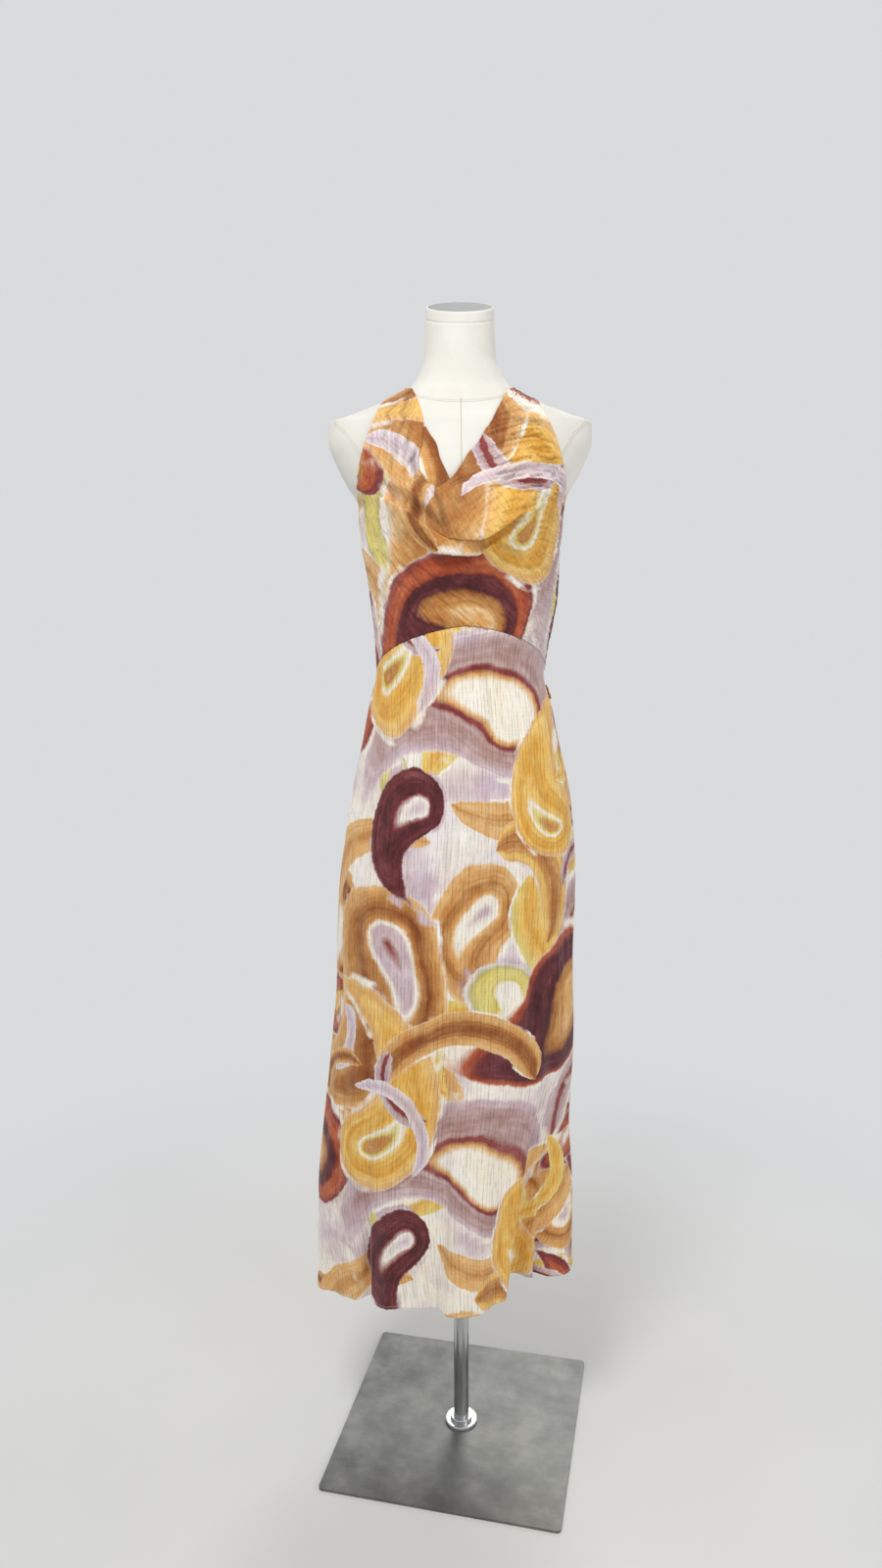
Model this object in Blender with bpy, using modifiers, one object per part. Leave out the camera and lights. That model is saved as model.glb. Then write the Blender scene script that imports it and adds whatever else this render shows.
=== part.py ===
"""Maxi dress with a cowl halter front, filled out on a limbless dress form with a steel stand.

Metres, +Z up, front towards -Y. The origin is the middle of the base plate's underside.
The form is a loft of oval sections. The cloth is a wall on sections worked out from the form's,
plus ease, drape and folds. Each sewn piece is its own object, with a sewing gap to the next.
"""

import math
from collections import namedtuple

import bmesh
import bpy
from mathutils import Matrix, Vector

# ---- Driving dimensions ----
CLOTH = 0.0015  # wall of the cloth, a little over the real gauze
GAP = 0.0003  # between neighbouring pieces
SEAM_HALF_GAP = math.radians(0.15)  # half the gap at the side seams, as a turn round the waist
SHOULDER_GAP = math.radians(0.7)  # between the strap ends and the neck band

PLATE_SIDE = 0.381
PLATE_THICKNESS = 0.0045
PLATE_CORNER = 0.007
PLATE_TURN = math.radians(-12.7)
FLANGE_RADIUS = 0.027
FLANGE_HEIGHT = 0.005
FLANGE_RING_RADIUS = 0.0185
FLANGE_RING_HEIGHT = 0.011
POLE_RADIUS = 0.0125
FORM_BOTTOM = 0.800
COLLAR_RADIUS = 0.024
COLLAR_HEIGHT = 0.045

NECK_TOP = 1.791
NECK_TILT = math.tan(math.radians(22))  # the neck is cut on a slope, lower in front
NECK_TILT_START = 1.715
CAP_RADIUS = 0.0465
CAP_THICKNESS = 0.002

HEM = 0.288
HEM_RISE_LEFT = 0.009  # the hem hangs a little higher on the wearer's left
SEAM_PEAK = 1.339  # top of the arched waist seam at centre front
SEAM_DROP = 0.058
SEAM_CENTRE = math.radians(1.5)
SEAM_SPREAD = math.radians(80)
SEAM_POWER = 1.5
BACK_WAIST = 1.249  # top of the casing at the sides
BACK_DIP = 0.012
CASING_HEIGHT = 0.022
CASING_WALL = 0.0018

STRAP_OUTER = 1.6600  # heights of the strap's two edges where it crosses the shoulder line
STRAP_INNER = 1.6780
BAND_DIP = 0.012  # how far the neck band hangs at centre back
EDGE_SHARE = 0.88  # share of the strap's rows below its turn on to the shoulder line

CHEST_EASE = 0.005  # outer face of the cloth over the form
SHOULDER_EASE = 0.0036
EASE_FROM = 1.50
EASE_TO = 1.60

# ---- Sections: half_width is across, front and back are the depths from the axis ----
Section = namedtuple("Section", "height shift half_width front back")

FORM_SECTIONS = [
    Section(0.800, 0, 0.150, 0.092, 0.104),
    Section(0.812, 0, 0.159, 0.101, 0.114),
    Section(0.860, 0, 0.166, 0.106, 0.123),
    Section(0.940, 0, 0.171, 0.109, 0.129),
    Section(1.010, 0, 0.167, 0.108, 0.127),
    Section(1.080, 0, 0.156, 0.106, 0.118),
    Section(1.150, 0, 0.141, 0.101, 0.102),
    Section(1.210, 0, 0.128, 0.095, 0.088),
    Section(1.265, 0, 0.120, 0.090, 0.080),
    Section(1.320, 0, 0.122, 0.094, 0.082),
    Section(1.380, 0, 0.129, 0.104, 0.088),
    Section(1.430, 0, 0.136, 0.116, 0.093),
    Section(1.470, 0, 0.143, 0.121, 0.097),
    Section(1.505, 0, 0.146, 0.118, 0.101),
    Section(1.543, 0, 0.167, 0.108, 0.104),
    Section(1.571, 0, 0.181, 0.100, 0.104),
    Section(1.605, 0, 0.192, 0.088, 0.099),
    Section(1.629, 0, 0.191, 0.078, 0.091),
    Section(1.6375, 0, 0.168, 0.072, 0.087),
    Section(1.646, 0, 0.145, 0.067, 0.083),
    Section(1.656, 0, 0.118, 0.062, 0.079),
    Section(1.667, 0, 0.094, 0.058, 0.075),
    Section(1.680, 0, 0.072, 0.053, 0.070),
    Section(1.696, 0, 0.061, 0.050, 0.062),
    Section(1.720, 0, 0.0525, 0.048, 0.054),
    Section(1.768, 0, 0.0493, 0.047, 0.049),
    Section(1.810, 0, 0.0488, 0.047, 0.048),
]

DRESS_SECTIONS = [
    Section(0.270, -0.025, 0.209, 0.106, 0.146),
    Section(0.345, -0.026, 0.207, 0.108, 0.147),
    Section(0.450, -0.026, 0.203, 0.110, 0.147),
    Section(0.520, -0.025, 0.198, 0.112, 0.147),
    Section(0.586, -0.021, 0.195, 0.114, 0.147),
    Section(0.652, -0.015, 0.193, 0.116, 0.147),
    Section(0.718, -0.011, 0.190, 0.118, 0.146),
    Section(0.783, -0.009, 0.186, 0.119, 0.145),
    Section(0.848, -0.008, 0.184, 0.119, 0.143),
    Section(0.911, -0.006, 0.182, 0.119, 0.141),
    Section(0.974, -0.003, 0.179, 0.118, 0.139),
    Section(1.036, 0.000, 0.173, 0.116, 0.134),
    Section(1.098, 0.002, 0.163, 0.112, 0.124),
    Section(1.158, 0.002, 0.149, 0.107, 0.110),
    Section(1.218, 0.001, 0.137, 0.101, 0.096),
    Section(1.265, 0.000, 0.126, 0.096, 0.086),
    Section(1.307, 0.002, 0.129, 0.099, 0.087),
    Section(1.336, 0.004, 0.133, 0.102, 0.090),
    Section(1.380, 0.005, 0.139, 0.109, 0.094),
    Section(1.423, 0.003, 0.143, 0.119, 0.098),
    Section(1.451, 0.001, 0.146, 0.124, 0.100),
    Section(1.479, 0.001, 0.149, 0.126, 0.103),
    Section(1.508, 0.001, 0.151, 0.123, 0.106),
    Section(1.540, 0.000, 0.170, 0.114, 0.109),
]
DRESS_TOP = (1.505, 1.535)  # between these heights the dress goes over to the form's own sections

# The cut edges of the front, seen from in front: right is the wearer's right, at -X.
Edge = namedtuple("Edge", "height right left")
NECKLINE = [
    Edge(1.523, -0.031, -0.031),
    Edge(1.537, -0.041, -0.014),
    Edge(1.551, -0.046, -0.004),
    Edge(1.585, -0.050, 0.018),
    Edge(1.618, -0.054, 0.037),
    Edge(1.646, -0.062, 0.053),
    Edge(1.669, -0.070, 0.066),
]
ARMHOLE = [
    Edge(1.480, -0.149, 0.149),
    Edge(1.505, -0.1475, 0.150),
    Edge(1.545, -0.144, 0.146),
    Edge(1.580, -0.1365, 0.138),
    Edge(1.610, -0.127, 0.128),
    Edge(1.633, -0.1175, 0.116),
    Edge(1.648, -0.1120, 0.110),
]
UNDERARM = (1.400, 1.530)  # between these heights the side edge leaves the side seam's line
Point = namedtuple("Point", "height across")
FACING_EDGE = [
    Point(1.505, -0.012),
    Point(1.540, -0.020),
    Point(1.560, -0.027),
    Point(1.582, -0.033),
    Point(1.604, -0.044),
    Point(1.620, -0.049),
]
FACING_GAP = 0.0020  # across, between the front's fold and the facing
FACING_TUCKED = 0.28  # up to this share of the neckline
FACING_REACH = (-0.12, 0.56)  # along the neckline from its lowest point
FACING_TUCK = 0.0050  # how far in the facing's lower end goes behind the front
FACING_LIFT = 0.0008  # between the facing's free edge and the form
FACING_BULGE = 0.0010

# Drape rolls of the cowl: each hangs in a curve from side to side, its lowest point at middle.
Roll = namedtuple("Roll", "middle low right_rise left_rise reach out above below")
COWL_ROLLS = [
    Roll(math.radians(-2), 1.456, 0.048, 0.038, math.radians(62), 0.021, 0.042, 0.014),
    Roll(math.radians(-9), 1.424, 0.010, 0.040, math.radians(32), 0.013, 0.024, 0.014),
]
NECK_ROLL = 0.006  # how far the neckline stands off the chest
NECK_ROLL_DEPTH = 0.055

# Folds of the skirt: angle and width at the hem, lean as it climbs, out or in, height where it ends.
Fold = namedtuple("Fold", "angle half_width lean out top")
SKIRT_FOLDS = [
    Fold(-72, 16, 0, 0.009, 0.66),
    Fold(-38, 8, 2, -0.016, 0.58),
    Fold(-24, 10, 0, 0.006, 0.70),
    Fold(8, 17, 6, 0.026, 0.72),
    Fold(38, 15, 24, -0.048, 0.70),
    Fold(62, 12, 6, -0.012, 0.62),
    Fold(112, 14, -4, 0.010, 0.80),
    Fold(134, 12, -3, -0.014, 0.74),
    Fold(158, 15, -2, 0.013, 0.86),
    Fold(184, 12, 0, -0.015, 0.78),
    Fold(207, 14, 2, 0.012, 0.84),
    Fold(232, 12, 3, -0.013, 0.72),
    Fold(252, 12, 4, 0.009, 0.76),
]
GATHER_COUNT = 18  # soft gathers round the whole waist, of which the back takes half
GATHER_DEPTH = 0.0022
GATHER_LENGTH = 0.13

# ---- Grids of the faceted walls ----
STEP_TURN = 0.001  # steps that find which way a surface faces, in radians and in metres
STEP_CLIMB = 0.0005
FORM_SIDES = 40
SKIRT_COLUMNS = 36
SKIRT_ROWS = 15
BODICE_COLUMNS = 30
BODICE_RIGHT_COLUMNS = 13
BODY_ROWS = 13
STRAP_ROWS = 12
BAND_COLUMNS = 22
FACING_COLUMNS = 3
FACING_ROWS = 13
TURN_SEGMENTS = 40


# ---- Curves through the tables ----
def curve_through(heights, values):
    """A smooth curve through the values that never swings past them."""
    steps = [b - a for a, b in zip(heights, heights[1:])]
    slopes = [(b - a) / s for a, b, s in zip(values, values[1:], steps)]
    tangents = [slopes[0]]
    for before, after in zip(slopes, slopes[1:]):
        turns = before * after <= 0
        tangents.append(0.0 if turns else 2 * before * after / (before + after))
    tangents.append(slopes[-1])

    def value(height):
        height = min(max(height, heights[0]), heights[-1])
        k = 0
        while k < len(steps) - 1 and height > heights[k + 1]:
            k += 1
        t = (height - heights[k]) / steps[k]
        ends = values[k] * (1 + 2 * t) * (1 - t) ** 2 + values[k + 1] * t * t * (3 - 2 * t)
        bend = tangents[k] * t * (1 - t) ** 2 - tangents[k + 1] * t * t * (1 - t)
        return ends + bend * steps[k]

    return value


def table_curves(rows):
    """One curve for each column of a table after its heights."""
    heights = [row.height for row in rows]
    return [curve_through(heights, column) for column in list(zip(*rows))[1:]]


def smooth_step(value, low, high):
    t = min(max((value - low) / (high - low), 0.0), 1.0)
    return t * t * (3 - 2 * t)


def bump(t):
    """A soft hump, 1 at 0 and level with its surroundings from -1 to 1 outwards."""
    return 0.5 + 0.5 * math.cos(math.pi * t) if abs(t) < 1 else 0.0


form_curves = table_curves(FORM_SECTIONS)
dress_curves = table_curves(DRESS_SECTIONS)
neckline_curves = table_curves(NECKLINE)
armhole_curves = table_curves(ARMHOLE)


def form_section(height):
    return Section(height, *[curve(height) for curve in form_curves])


def ease_at(height):
    return CHEST_EASE + (SHOULDER_EASE - CHEST_EASE) * smooth_step(height, EASE_FROM, EASE_TO)


def dress_section(height):
    """Sections under the cloth: the dress's own up to the chest, where their ease ends, then the form's."""
    own = [curve(height) for curve in dress_curves]
    over = form_section(height)[1:]
    up = smooth_step(height, *DRESS_TOP)
    return Section(height, *[a + (b - a) * up for a, b in zip(own, over)])


def on_section(section, angle):
    """The point at an angle round a section: 0 is centre front and 90 degrees the wearer's left."""
    depth = section.front if math.cos(angle) > 0 else section.back
    across = section.shift + section.half_width * math.sin(angle)
    return Vector((across, -depth * math.cos(angle), section.height))


def off_sections(section_at, angle, height, out):
    """The point that lies out from the surface through the sections, at a right angle to it."""
    point = on_section(section_at(height), angle)
    turned = on_section(section_at(height), angle + STEP_TURN) - point
    climbed = on_section(section_at(height + STEP_CLIMB), angle) - point
    return point + turned.cross(climbed).normalized() * out


# ---- Folds ----
def cowl_out(angle, height):
    """How far the cowl's rolls and its neckline stand out: full just above each roll's lower line."""
    out = 0.0
    for roll in COWL_ROLLS:
        turn = (angle - roll.middle) / roll.reach
        rise = roll.left_rise if turn > 0 else roll.right_rise
        line = roll.low + rise * turn * turn
        above = height - line
        if abs(turn) >= 1:
            continue
        if above > 0:
            shape = smooth_step(above, 0, roll.below) * bump(above / roll.above / 2)
        else:
            shape = 0.0
        out += roll.out * shape * bump(turn)
    across = math.sin(angle)
    near_neckline = bump((height - NECKLINE[0].height) / NECK_ROLL_DEPTH)
    return out + NECK_ROLL * near_neckline * bump(across)


def skirt_out(angle, height):
    """How far the skirt's folds and back gathers stand out or in."""
    degrees = math.degrees(angle)
    out = 0.0
    for fold in SKIRT_FOLDS:
        if height >= fold.top:
            continue
        climb = (height - HEM) / (fold.top - HEM)
        off = (degrees - fold.angle - fold.lean * climb + 180) % 360 - 180
        out += fold.out * bump(off / fold.half_width) * min(1.0, 1 - climb) ** 1.2
    into_back = smooth_step(-math.cos(angle), 0.0, 0.35)
    hang = bump(max(0.0, BACK_WAIST - height) / GATHER_LENGTH)
    return out + GATHER_DEPTH * into_back * hang * math.cos(GATHER_COUNT * angle)


def hem_height(angle):
    return HEM + HEM_RISE_LEFT * math.sin(angle)


def seam_height(angle):
    """The arched waist seam between the bodice and the front skirt."""
    away = abs(angle - SEAM_CENTRE) / SEAM_SPREAD
    return SEAM_PEAK - SEAM_DROP * away**SEAM_POWER


def casing_top(angle):
    return BACK_WAIST - BACK_DIP * smooth_step(-math.cos(angle), 0.0, 1.0)


def on_dress(angle, height, out=0.0):
    """The point of the cloth's outer face, with its ease over the form and its folds."""
    out += ease_at(height) * smooth_step(height, *DRESS_TOP)
    out += cowl_out(angle, height) if height > SEAM_PEAK else 0.0
    out += skirt_out(angle, height) if height < BACK_WAIST else 0.0
    return off_sections(dress_section, angle, height, out)


# ---- Making objects ----
def finish(name, colour, roughness, metallic=0.0):
    """A material with one colour, as red, green and blue from 0 to 1."""
    material = bpy.data.materials.new(name)
    material.use_nodes = True
    shader = material.node_tree.nodes["Principled BSDF"]
    shader.inputs["Base Color"].default_value = (*colour, 1.0)
    shader.inputs["Roughness"].default_value = roughness
    shader.inputs["Metallic"].default_value = metallic
    return material


def add_object(name, mesh, material):
    piece = bpy.data.objects.new(name, mesh)
    piece.data.materials.append(material)
    collection.objects.link(piece)
    return piece


def mesh_from_rows(name, rows, closed=False, caps=False):
    """Quads between rows of points; closed joins each row's ends, caps close the first and last row."""
    shape = bmesh.new()
    grid = [[shape.verts.new(point) for point in row] for row in rows]
    columns = len(rows[0])
    for low, high in zip(grid, grid[1:]):
        for k in range(columns if closed else columns - 1):
            after = (k + 1) % columns
            shape.faces.new((low[k], low[after], high[after], high[k]))
    if caps:
        shape.faces.new(grid[0][::-1])
        shape.faces.new(grid[-1])
    mesh = bpy.data.meshes.new(name)
    shape.to_mesh(mesh)
    shape.free()
    mesh.shade_smooth()
    return mesh


def add_wall(piece, wall):
    """Thickens a piece inwards from its outer face."""
    solid = piece.modifiers.new("wall", "SOLIDIFY")
    solid.thickness = wall
    solid.offset = -1
    solid.use_even_offset = False


def cloth_piece(name, rows, material, wall=CLOTH):
    """A wall of cloth whose outer face goes through the rows, each running to the wearer's left."""
    add_wall(add_object(name, mesh_from_rows(name, rows), material), wall)


def turned_piece(name, profile, material):
    """A profile of (radius, height) points from the top down, turned round the pole's axis."""
    shape = bmesh.new()
    points = [shape.verts.new((radius, 0, height)) for radius, height in profile]
    for a, b in zip(points, points[1:]):
        shape.edges.new((a, b))
    mesh = bpy.data.meshes.new(name)
    shape.to_mesh(mesh)
    shape.free()
    piece = add_object(name, mesh, material)
    turn = piece.modifiers.new("turn", "SCREW")
    turn.steps = TURN_SEGMENTS
    turn.render_steps = TURN_SEGMENTS
    turn.use_merge_vertices = True
    turn.merge_threshold = 0.00005
    piece.data.shade_smooth()
    return piece


def spread(low, high, count):
    """Evenly spaced values from low to high, both included."""
    return [low + (high - low) * k / (count - 1) for k in range(count)]


# ---- Stand ----
def make_base_plate(material):
    shape = bmesh.new()
    bmesh.ops.create_cube(shape, size=1.0)
    bmesh.ops.scale(shape, vec=(PLATE_SIDE, PLATE_SIDE, PLATE_THICKNESS), verts=shape.verts)
    upright = [e for e in shape.edges if abs(e.verts[0].co.z - e.verts[1].co.z) > PLATE_THICKNESS / 2]
    bmesh.ops.bevel(shape, geom=upright, offset=PLATE_CORNER, segments=5, profile=0.5, affect="EDGES")
    mesh = bpy.data.meshes.new("base_plate")
    shape.to_mesh(mesh)
    shape.free()
    plate = add_object("base_plate", mesh, material)
    plate.location = (0, 0, PLATE_THICKNESS / 2)
    plate.rotation_euler = (0, 0, PLATE_TURN)


def make_base_flange(material):
    """The collar that holds the pole to the plate, with a ring round the pole."""
    bottom = PLATE_THICKNESS + GAP
    bore = POLE_RADIUS + GAP
    profile = [
        (bore, bottom + FLANGE_RING_HEIGHT),
        (FLANGE_RING_RADIUS - 0.001, bottom + FLANGE_RING_HEIGHT),
        (FLANGE_RING_RADIUS, bottom + FLANGE_RING_HEIGHT - 0.001),
        (FLANGE_RING_RADIUS, bottom + FLANGE_HEIGHT),
        (FLANGE_RADIUS - 0.0015, bottom + FLANGE_HEIGHT),
        (FLANGE_RADIUS, bottom + FLANGE_HEIGHT - 0.0015),
        (FLANGE_RADIUS, bottom),
        (bore, bottom),
        (bore, bottom + FLANGE_RING_HEIGHT),
    ]
    turned_piece("base_flange", profile, material)


def make_pole(material):
    bottom = PLATE_THICKNESS + GAP
    top = FORM_BOTTOM - GAP
    profile = [(0, top), (POLE_RADIUS, top), (POLE_RADIUS, bottom), (0, bottom)]
    turned_piece("pole", profile, material)


def make_form_collar(material):
    """The plain collar under the form that grips the pole."""
    top = FORM_BOTTOM - GAP
    bottom = top - COLLAR_HEIGHT
    bore = POLE_RADIUS + GAP
    profile = [
        (bore, top),
        (COLLAR_RADIUS, top),
        (COLLAR_RADIUS, bottom + 0.002),
        (COLLAR_RADIUS - 0.002, bottom),
        (bore, bottom),
        (bore, top),
    ]
    turned_piece("form_collar", profile, material)


# ---- Dress form ----
def tilted(point):
    """The neck's top leans forward: points in front go down and points behind go up."""
    share = smooth_step(point.z, NECK_TILT_START, NECK_TOP)
    return Vector((point.x, point.y, point.z + NECK_TILT * point.y * share))


def make_form_torso(material):
    heights = []
    for low, high in zip(FORM_SECTIONS, FORM_SECTIONS[1:]):
        finer = low.height > 1.60 or high.height - low.height > 0.045
        heights += [low.height, (low.height + high.height) / 2] if finer else [low.height]
    heights = [height for height in heights if height < NECK_TOP - 0.008] + [NECK_TOP]
    angles = [2 * math.pi * k / FORM_SIDES for k in range(FORM_SIDES)]
    rows = [[tilted(on_section(form_section(h), angle)) for angle in angles] for h in heights]
    mesh = mesh_from_rows("form_torso", rows, closed=True, caps=True)
    mesh.set_sharp_from_angle(angle=math.radians(50))
    add_object("form_torso", mesh, material)


def make_neck_cap(material):
    """The flat disc on the slope of the neck's top."""
    shape = bmesh.new()
    bmesh.ops.create_cone(
        shape, cap_ends=True, segments=TURN_SEGMENTS, radius1=CAP_RADIUS, radius2=CAP_RADIUS, depth=CAP_THICKNESS
    )
    mesh = bpy.data.meshes.new("neck_cap")
    shape.to_mesh(mesh)
    shape.free()
    cap = add_object("neck_cap", mesh, material)
    slope = math.atan(NECK_TILT)
    above = Matrix.Rotation(slope, 3, "X") @ Vector((0, 0, CAP_THICKNESS / 2 + GAP))
    middle = (form_section(NECK_TOP).back - form_section(NECK_TOP).front) / 2
    cap.location = Vector((0, middle, NECK_TOP + middle * NECK_TILT)) + above
    cap.rotation_euler = (slope, 0, 0)


# ---- Dress ----
def angle_across(across, height):
    """The angle on the dress's section at which the cloth is that far across."""
    section = dress_section(height)
    share = (across - section.shift) / section.half_width
    return math.asin(min(max(share, -1.0), 1.0))


def armhole_angle(sign, height):
    """The angle of the front's free side edge: at the side up to the underarm, then round the armhole."""
    right, left = [curve(height) for curve in armhole_curves]
    round_armhole = angle_across(left if sign > 0 else right, height)
    side = sign * math.pi / 2
    return side + (round_armhole - side) * smooth_step(height, *UNDERARM)


def neckline_at(t, sign):
    """Angle and height on the neckline, from its lowest point, t 0, up to the shoulder line, t 1."""
    low, high = NECKLINE[0].height, NECKLINE[-1].height
    height = low + (high - low) * min(t / EDGE_SHARE, 1.0) ** 1.1
    right, left = [curve(height) for curve in neckline_curves]
    start = angle_across(left if sign > 0 else right, height)
    along = max(0.0, (t - EDGE_SHARE) / (1 - EDGE_SHARE))
    return start + (sign * math.pi / 2 - start) * along, height + (STRAP_INNER - height) * along


def armhole_at(t, sign):
    """Angle and height on the armhole, from level with the neckline's lowest point to the shoulder line."""
    low, high = NECKLINE[0].height, ARMHOLE[-1].height
    height = low + (high - low) * min(t / EDGE_SHARE, 1.0)
    start = armhole_angle(sign, height)
    along = max(0.0, (t - EDGE_SHARE) / (1 - EDGE_SHARE))
    return start + (sign * math.pi / 2 - start) * along, height + (STRAP_OUTER - height) * along


def between(a, b, columns):
    """A row of places evenly spaced between two places, each an angle and a height."""
    shares = spread(0, 1, columns + 1)
    return [tuple(p + (q - p) * share for p, q in zip(a, b)) for share in shares]


def bodice_places():
    """Rows of angles and heights: the body below the neckline, then the right and left sides above it."""
    right, left = BODICE_RIGHT_COLUMNS, BODICE_COLUMNS - BODICE_RIGHT_COLUMNS
    valley = neckline_at(0, -1)
    chest = between(armhole_at(0, -1), valley, right) + between(valley, armhole_at(0, 1), left)[1:]
    low, high = armhole_angle(-1, valley[1]), armhole_angle(1, valley[1])
    shares = [(angle - low) / (high - low) for angle, _ in chest]
    body = []
    for climb in spread(0, 1, BODY_ROWS + 1):
        row = []
        for even, share in zip(spread(0, 1, BODICE_COLUMNS + 1), shares):
            angle = math.pi * (even - 0.5)
            base = seam_height(angle) + GAP
            height = base + (valley[1] - base) * climb
            across = even + (share - even) * climb
            edges = armhole_angle(-1, height), armhole_angle(1, height)
            row.append((edges[0] + (edges[1] - edges[0]) * across, height))
        body.append(row)
    climbs = spread(0, 1, STRAP_ROWS + 1)
    right_side = [between(armhole_at(t, -1), neckline_at(t, -1), right) for t in climbs]
    left_side = [between(neckline_at(t, 1), armhole_at(t, 1), left) for t in climbs]
    return body, right_side, left_side


def make_bodice_front(material):
    """The halter front in one piece, from the arched seam up to both shoulder lines."""
    mesh = bpy.data.meshes.new("bodice_front")
    shape = bmesh.new()
    for rows in bodice_places():
        grid = [[shape.verts.new(on_dress(*place)) for place in row] for row in rows]
        for low, high in zip(grid, grid[1:]):
            for k in range(len(low) - 1):
                shape.faces.new((low[k], low[k + 1], high[k + 1], high[k]))
    bmesh.ops.remove_doubles(shape, verts=shape.verts, dist=0.00001)
    shape.to_mesh(mesh)
    shape.free()
    mesh.shade_smooth()
    add_wall(add_object("bodice_front", mesh, material), CLOTH)


def make_cowl_facing(material):
    """The neckline's turned-in edge, which shows on the wearer's right and lies down on the chest."""
    across_at = table_curves(FACING_EDGE)[0]
    rows = []
    for t in spread(*FACING_REACH, FACING_ROWS + 1):
        angle, height = neckline_at(max(t, 0.0), -1)
        below = min(t, 0.0) * (NECKLINE[-1].height - NECKLINE[0].height)
        tuck = FACING_TUCK * (1 - smooth_step(t, 0.0, FACING_TUCKED))
        fold = on_dress(angle, height + below, -tuck) + Vector((FACING_GAP, 0, 0))
        angle = math.asin(across_at(fold.z) / form_section(fold.z).half_width)
        free = off_sections(form_section, angle, fold.z, FACING_LIFT + CLOTH)
        row = []
        for share in spread(0, 1, FACING_COLUMNS + 1):
            bulge = Vector((0, -FACING_BULGE * math.sin(math.pi * share), 0))
            row.append(fold + (free - fold) * share + bulge)
        rows.append(row)
    cloth_piece("cowl_facing", rows, material)


def make_neck_band(material):
    """The band behind the neck that joins the two strap ends."""
    turn = math.pi / 2 + SHOULDER_GAP
    angles = spread(turn, 2 * math.pi - turn, BAND_COLUMNS + 1)
    rows = []
    for share in spread(0, 1, 4):
        row = []
        for angle in angles:
            dip = BAND_DIP * smooth_step(-math.cos(angle), 0.0, 1.0)
            height = STRAP_OUTER + (STRAP_INNER - STRAP_OUTER) * share - dip
            row.append(on_dress(angle, height))
        rows.append(row)
    cloth_piece("neck_band", rows, material)


def skirt_angles(first, last):
    return spread(first + SEAM_HALF_GAP, last - SEAM_HALF_GAP, SKIRT_COLUMNS + 1)


def skirt_rows(angles, top_of):
    """Rows of points from the hem up to the height that top_of gives for each angle."""
    rows = []
    for share in [t**0.9 for t in spread(0, 1, SKIRT_ROWS + 1)]:
        heights = [hem_height(a) + (top_of(a) - hem_height(a)) * share for a in angles]
        rows.append([on_dress(a, height) for a, height in zip(angles, heights)])
    return rows


def make_skirt_front(material):
    """The front skirt, between the side seams, from the hem up to the arched waist seam."""
    angles = skirt_angles(-math.pi / 2, math.pi / 2)
    rows = skirt_rows(angles, lambda angle: seam_height(angle) - GAP)
    cloth_piece("skirt_front", rows, material)


def make_skirt_back(material):
    """The back skirt with the elastic casing on its top edge, which draws in the back of the waist."""
    angles = skirt_angles(math.pi / 2, 1.5 * math.pi)
    rows = skirt_rows(angles, lambda angle: casing_top(angle) - CASING_HEIGHT)
    rows.append([on_dress(angle, casing_top(angle)) for angle in angles])
    cloth_piece("skirt_back", rows, material)
    out = CASING_WALL + GAP
    low = [on_dress(angle, casing_top(angle) - CASING_HEIGHT, out) for angle in angles]
    high = [on_dress(angle, casing_top(angle), out) for angle in angles]
    cloth_piece("back_casing", [low, high], material, CASING_WALL)


# ---- Build ----
for old in list(bpy.data.objects):
    bpy.data.objects.remove(old)

collection = bpy.data.collections.new("maxi_dress_on_dress_form")
bpy.context.scene.collection.children.link(collection)

printed_gauze = finish("printed_gauze", (0.72, 0.52, 0.36), 0.85)
form_linen = finish("form_linen", (0.86, 0.84, 0.78), 0.80)
plate_steel = finish("plate_steel", (0.48, 0.48, 0.47), 0.45, 1.0)
pole_steel = finish("pole_steel", (0.66, 0.66, 0.66), 0.22, 1.0)
cap_grey = finish("cap_grey", (0.28, 0.29, 0.28), 0.55)

make_base_plate(plate_steel)
make_base_flange(pole_steel)
make_pole(pole_steel)
make_form_collar(pole_steel)
make_form_torso(form_linen)
make_neck_cap(cap_grey)
make_bodice_front(printed_gauze)
make_cowl_facing(printed_gauze)
make_neck_band(printed_gauze)
make_skirt_front(printed_gauze)
make_skirt_back(printed_gauze)
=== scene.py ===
"""Looks of a cowl-neck halter maxi dress, filled out on a limbless dress form with a steel stand.

Metres, +Z up, front towards -Y, the wearer's left towards +X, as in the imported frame.
The file follows the object from the base plate up: stand, form, then the dress piece by piece.
"""

import math
from collections import namedtuple

import bmesh
import bpy
import numpy as np
from mathutils import Matrix, Vector


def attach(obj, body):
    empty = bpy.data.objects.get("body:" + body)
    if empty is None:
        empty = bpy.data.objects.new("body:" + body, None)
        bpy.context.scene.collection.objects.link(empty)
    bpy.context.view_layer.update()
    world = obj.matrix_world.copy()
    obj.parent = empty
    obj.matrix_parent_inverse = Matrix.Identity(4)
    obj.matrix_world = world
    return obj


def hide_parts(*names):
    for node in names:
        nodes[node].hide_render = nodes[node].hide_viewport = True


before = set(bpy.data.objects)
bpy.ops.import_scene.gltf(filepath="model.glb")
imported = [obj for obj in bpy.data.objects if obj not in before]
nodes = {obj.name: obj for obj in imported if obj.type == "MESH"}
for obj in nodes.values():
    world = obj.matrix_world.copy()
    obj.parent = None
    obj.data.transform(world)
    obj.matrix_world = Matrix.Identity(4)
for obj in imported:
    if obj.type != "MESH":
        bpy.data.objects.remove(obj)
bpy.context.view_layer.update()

# ======== Camera ========
# Stands a little left of centre at chest height and looks slightly down, as a person would
# who takes in the whole dress and its base plate.
CAMERA_PLACE = (-0.0301, -1.6475, 1.366)
CAMERA_DOWN = math.radians(9.25)
CAMERA_ROLL = math.radians(-0.24)
CAMERA_LENS = 24.95  # mm, on the long side of a 36 mm frame

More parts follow.
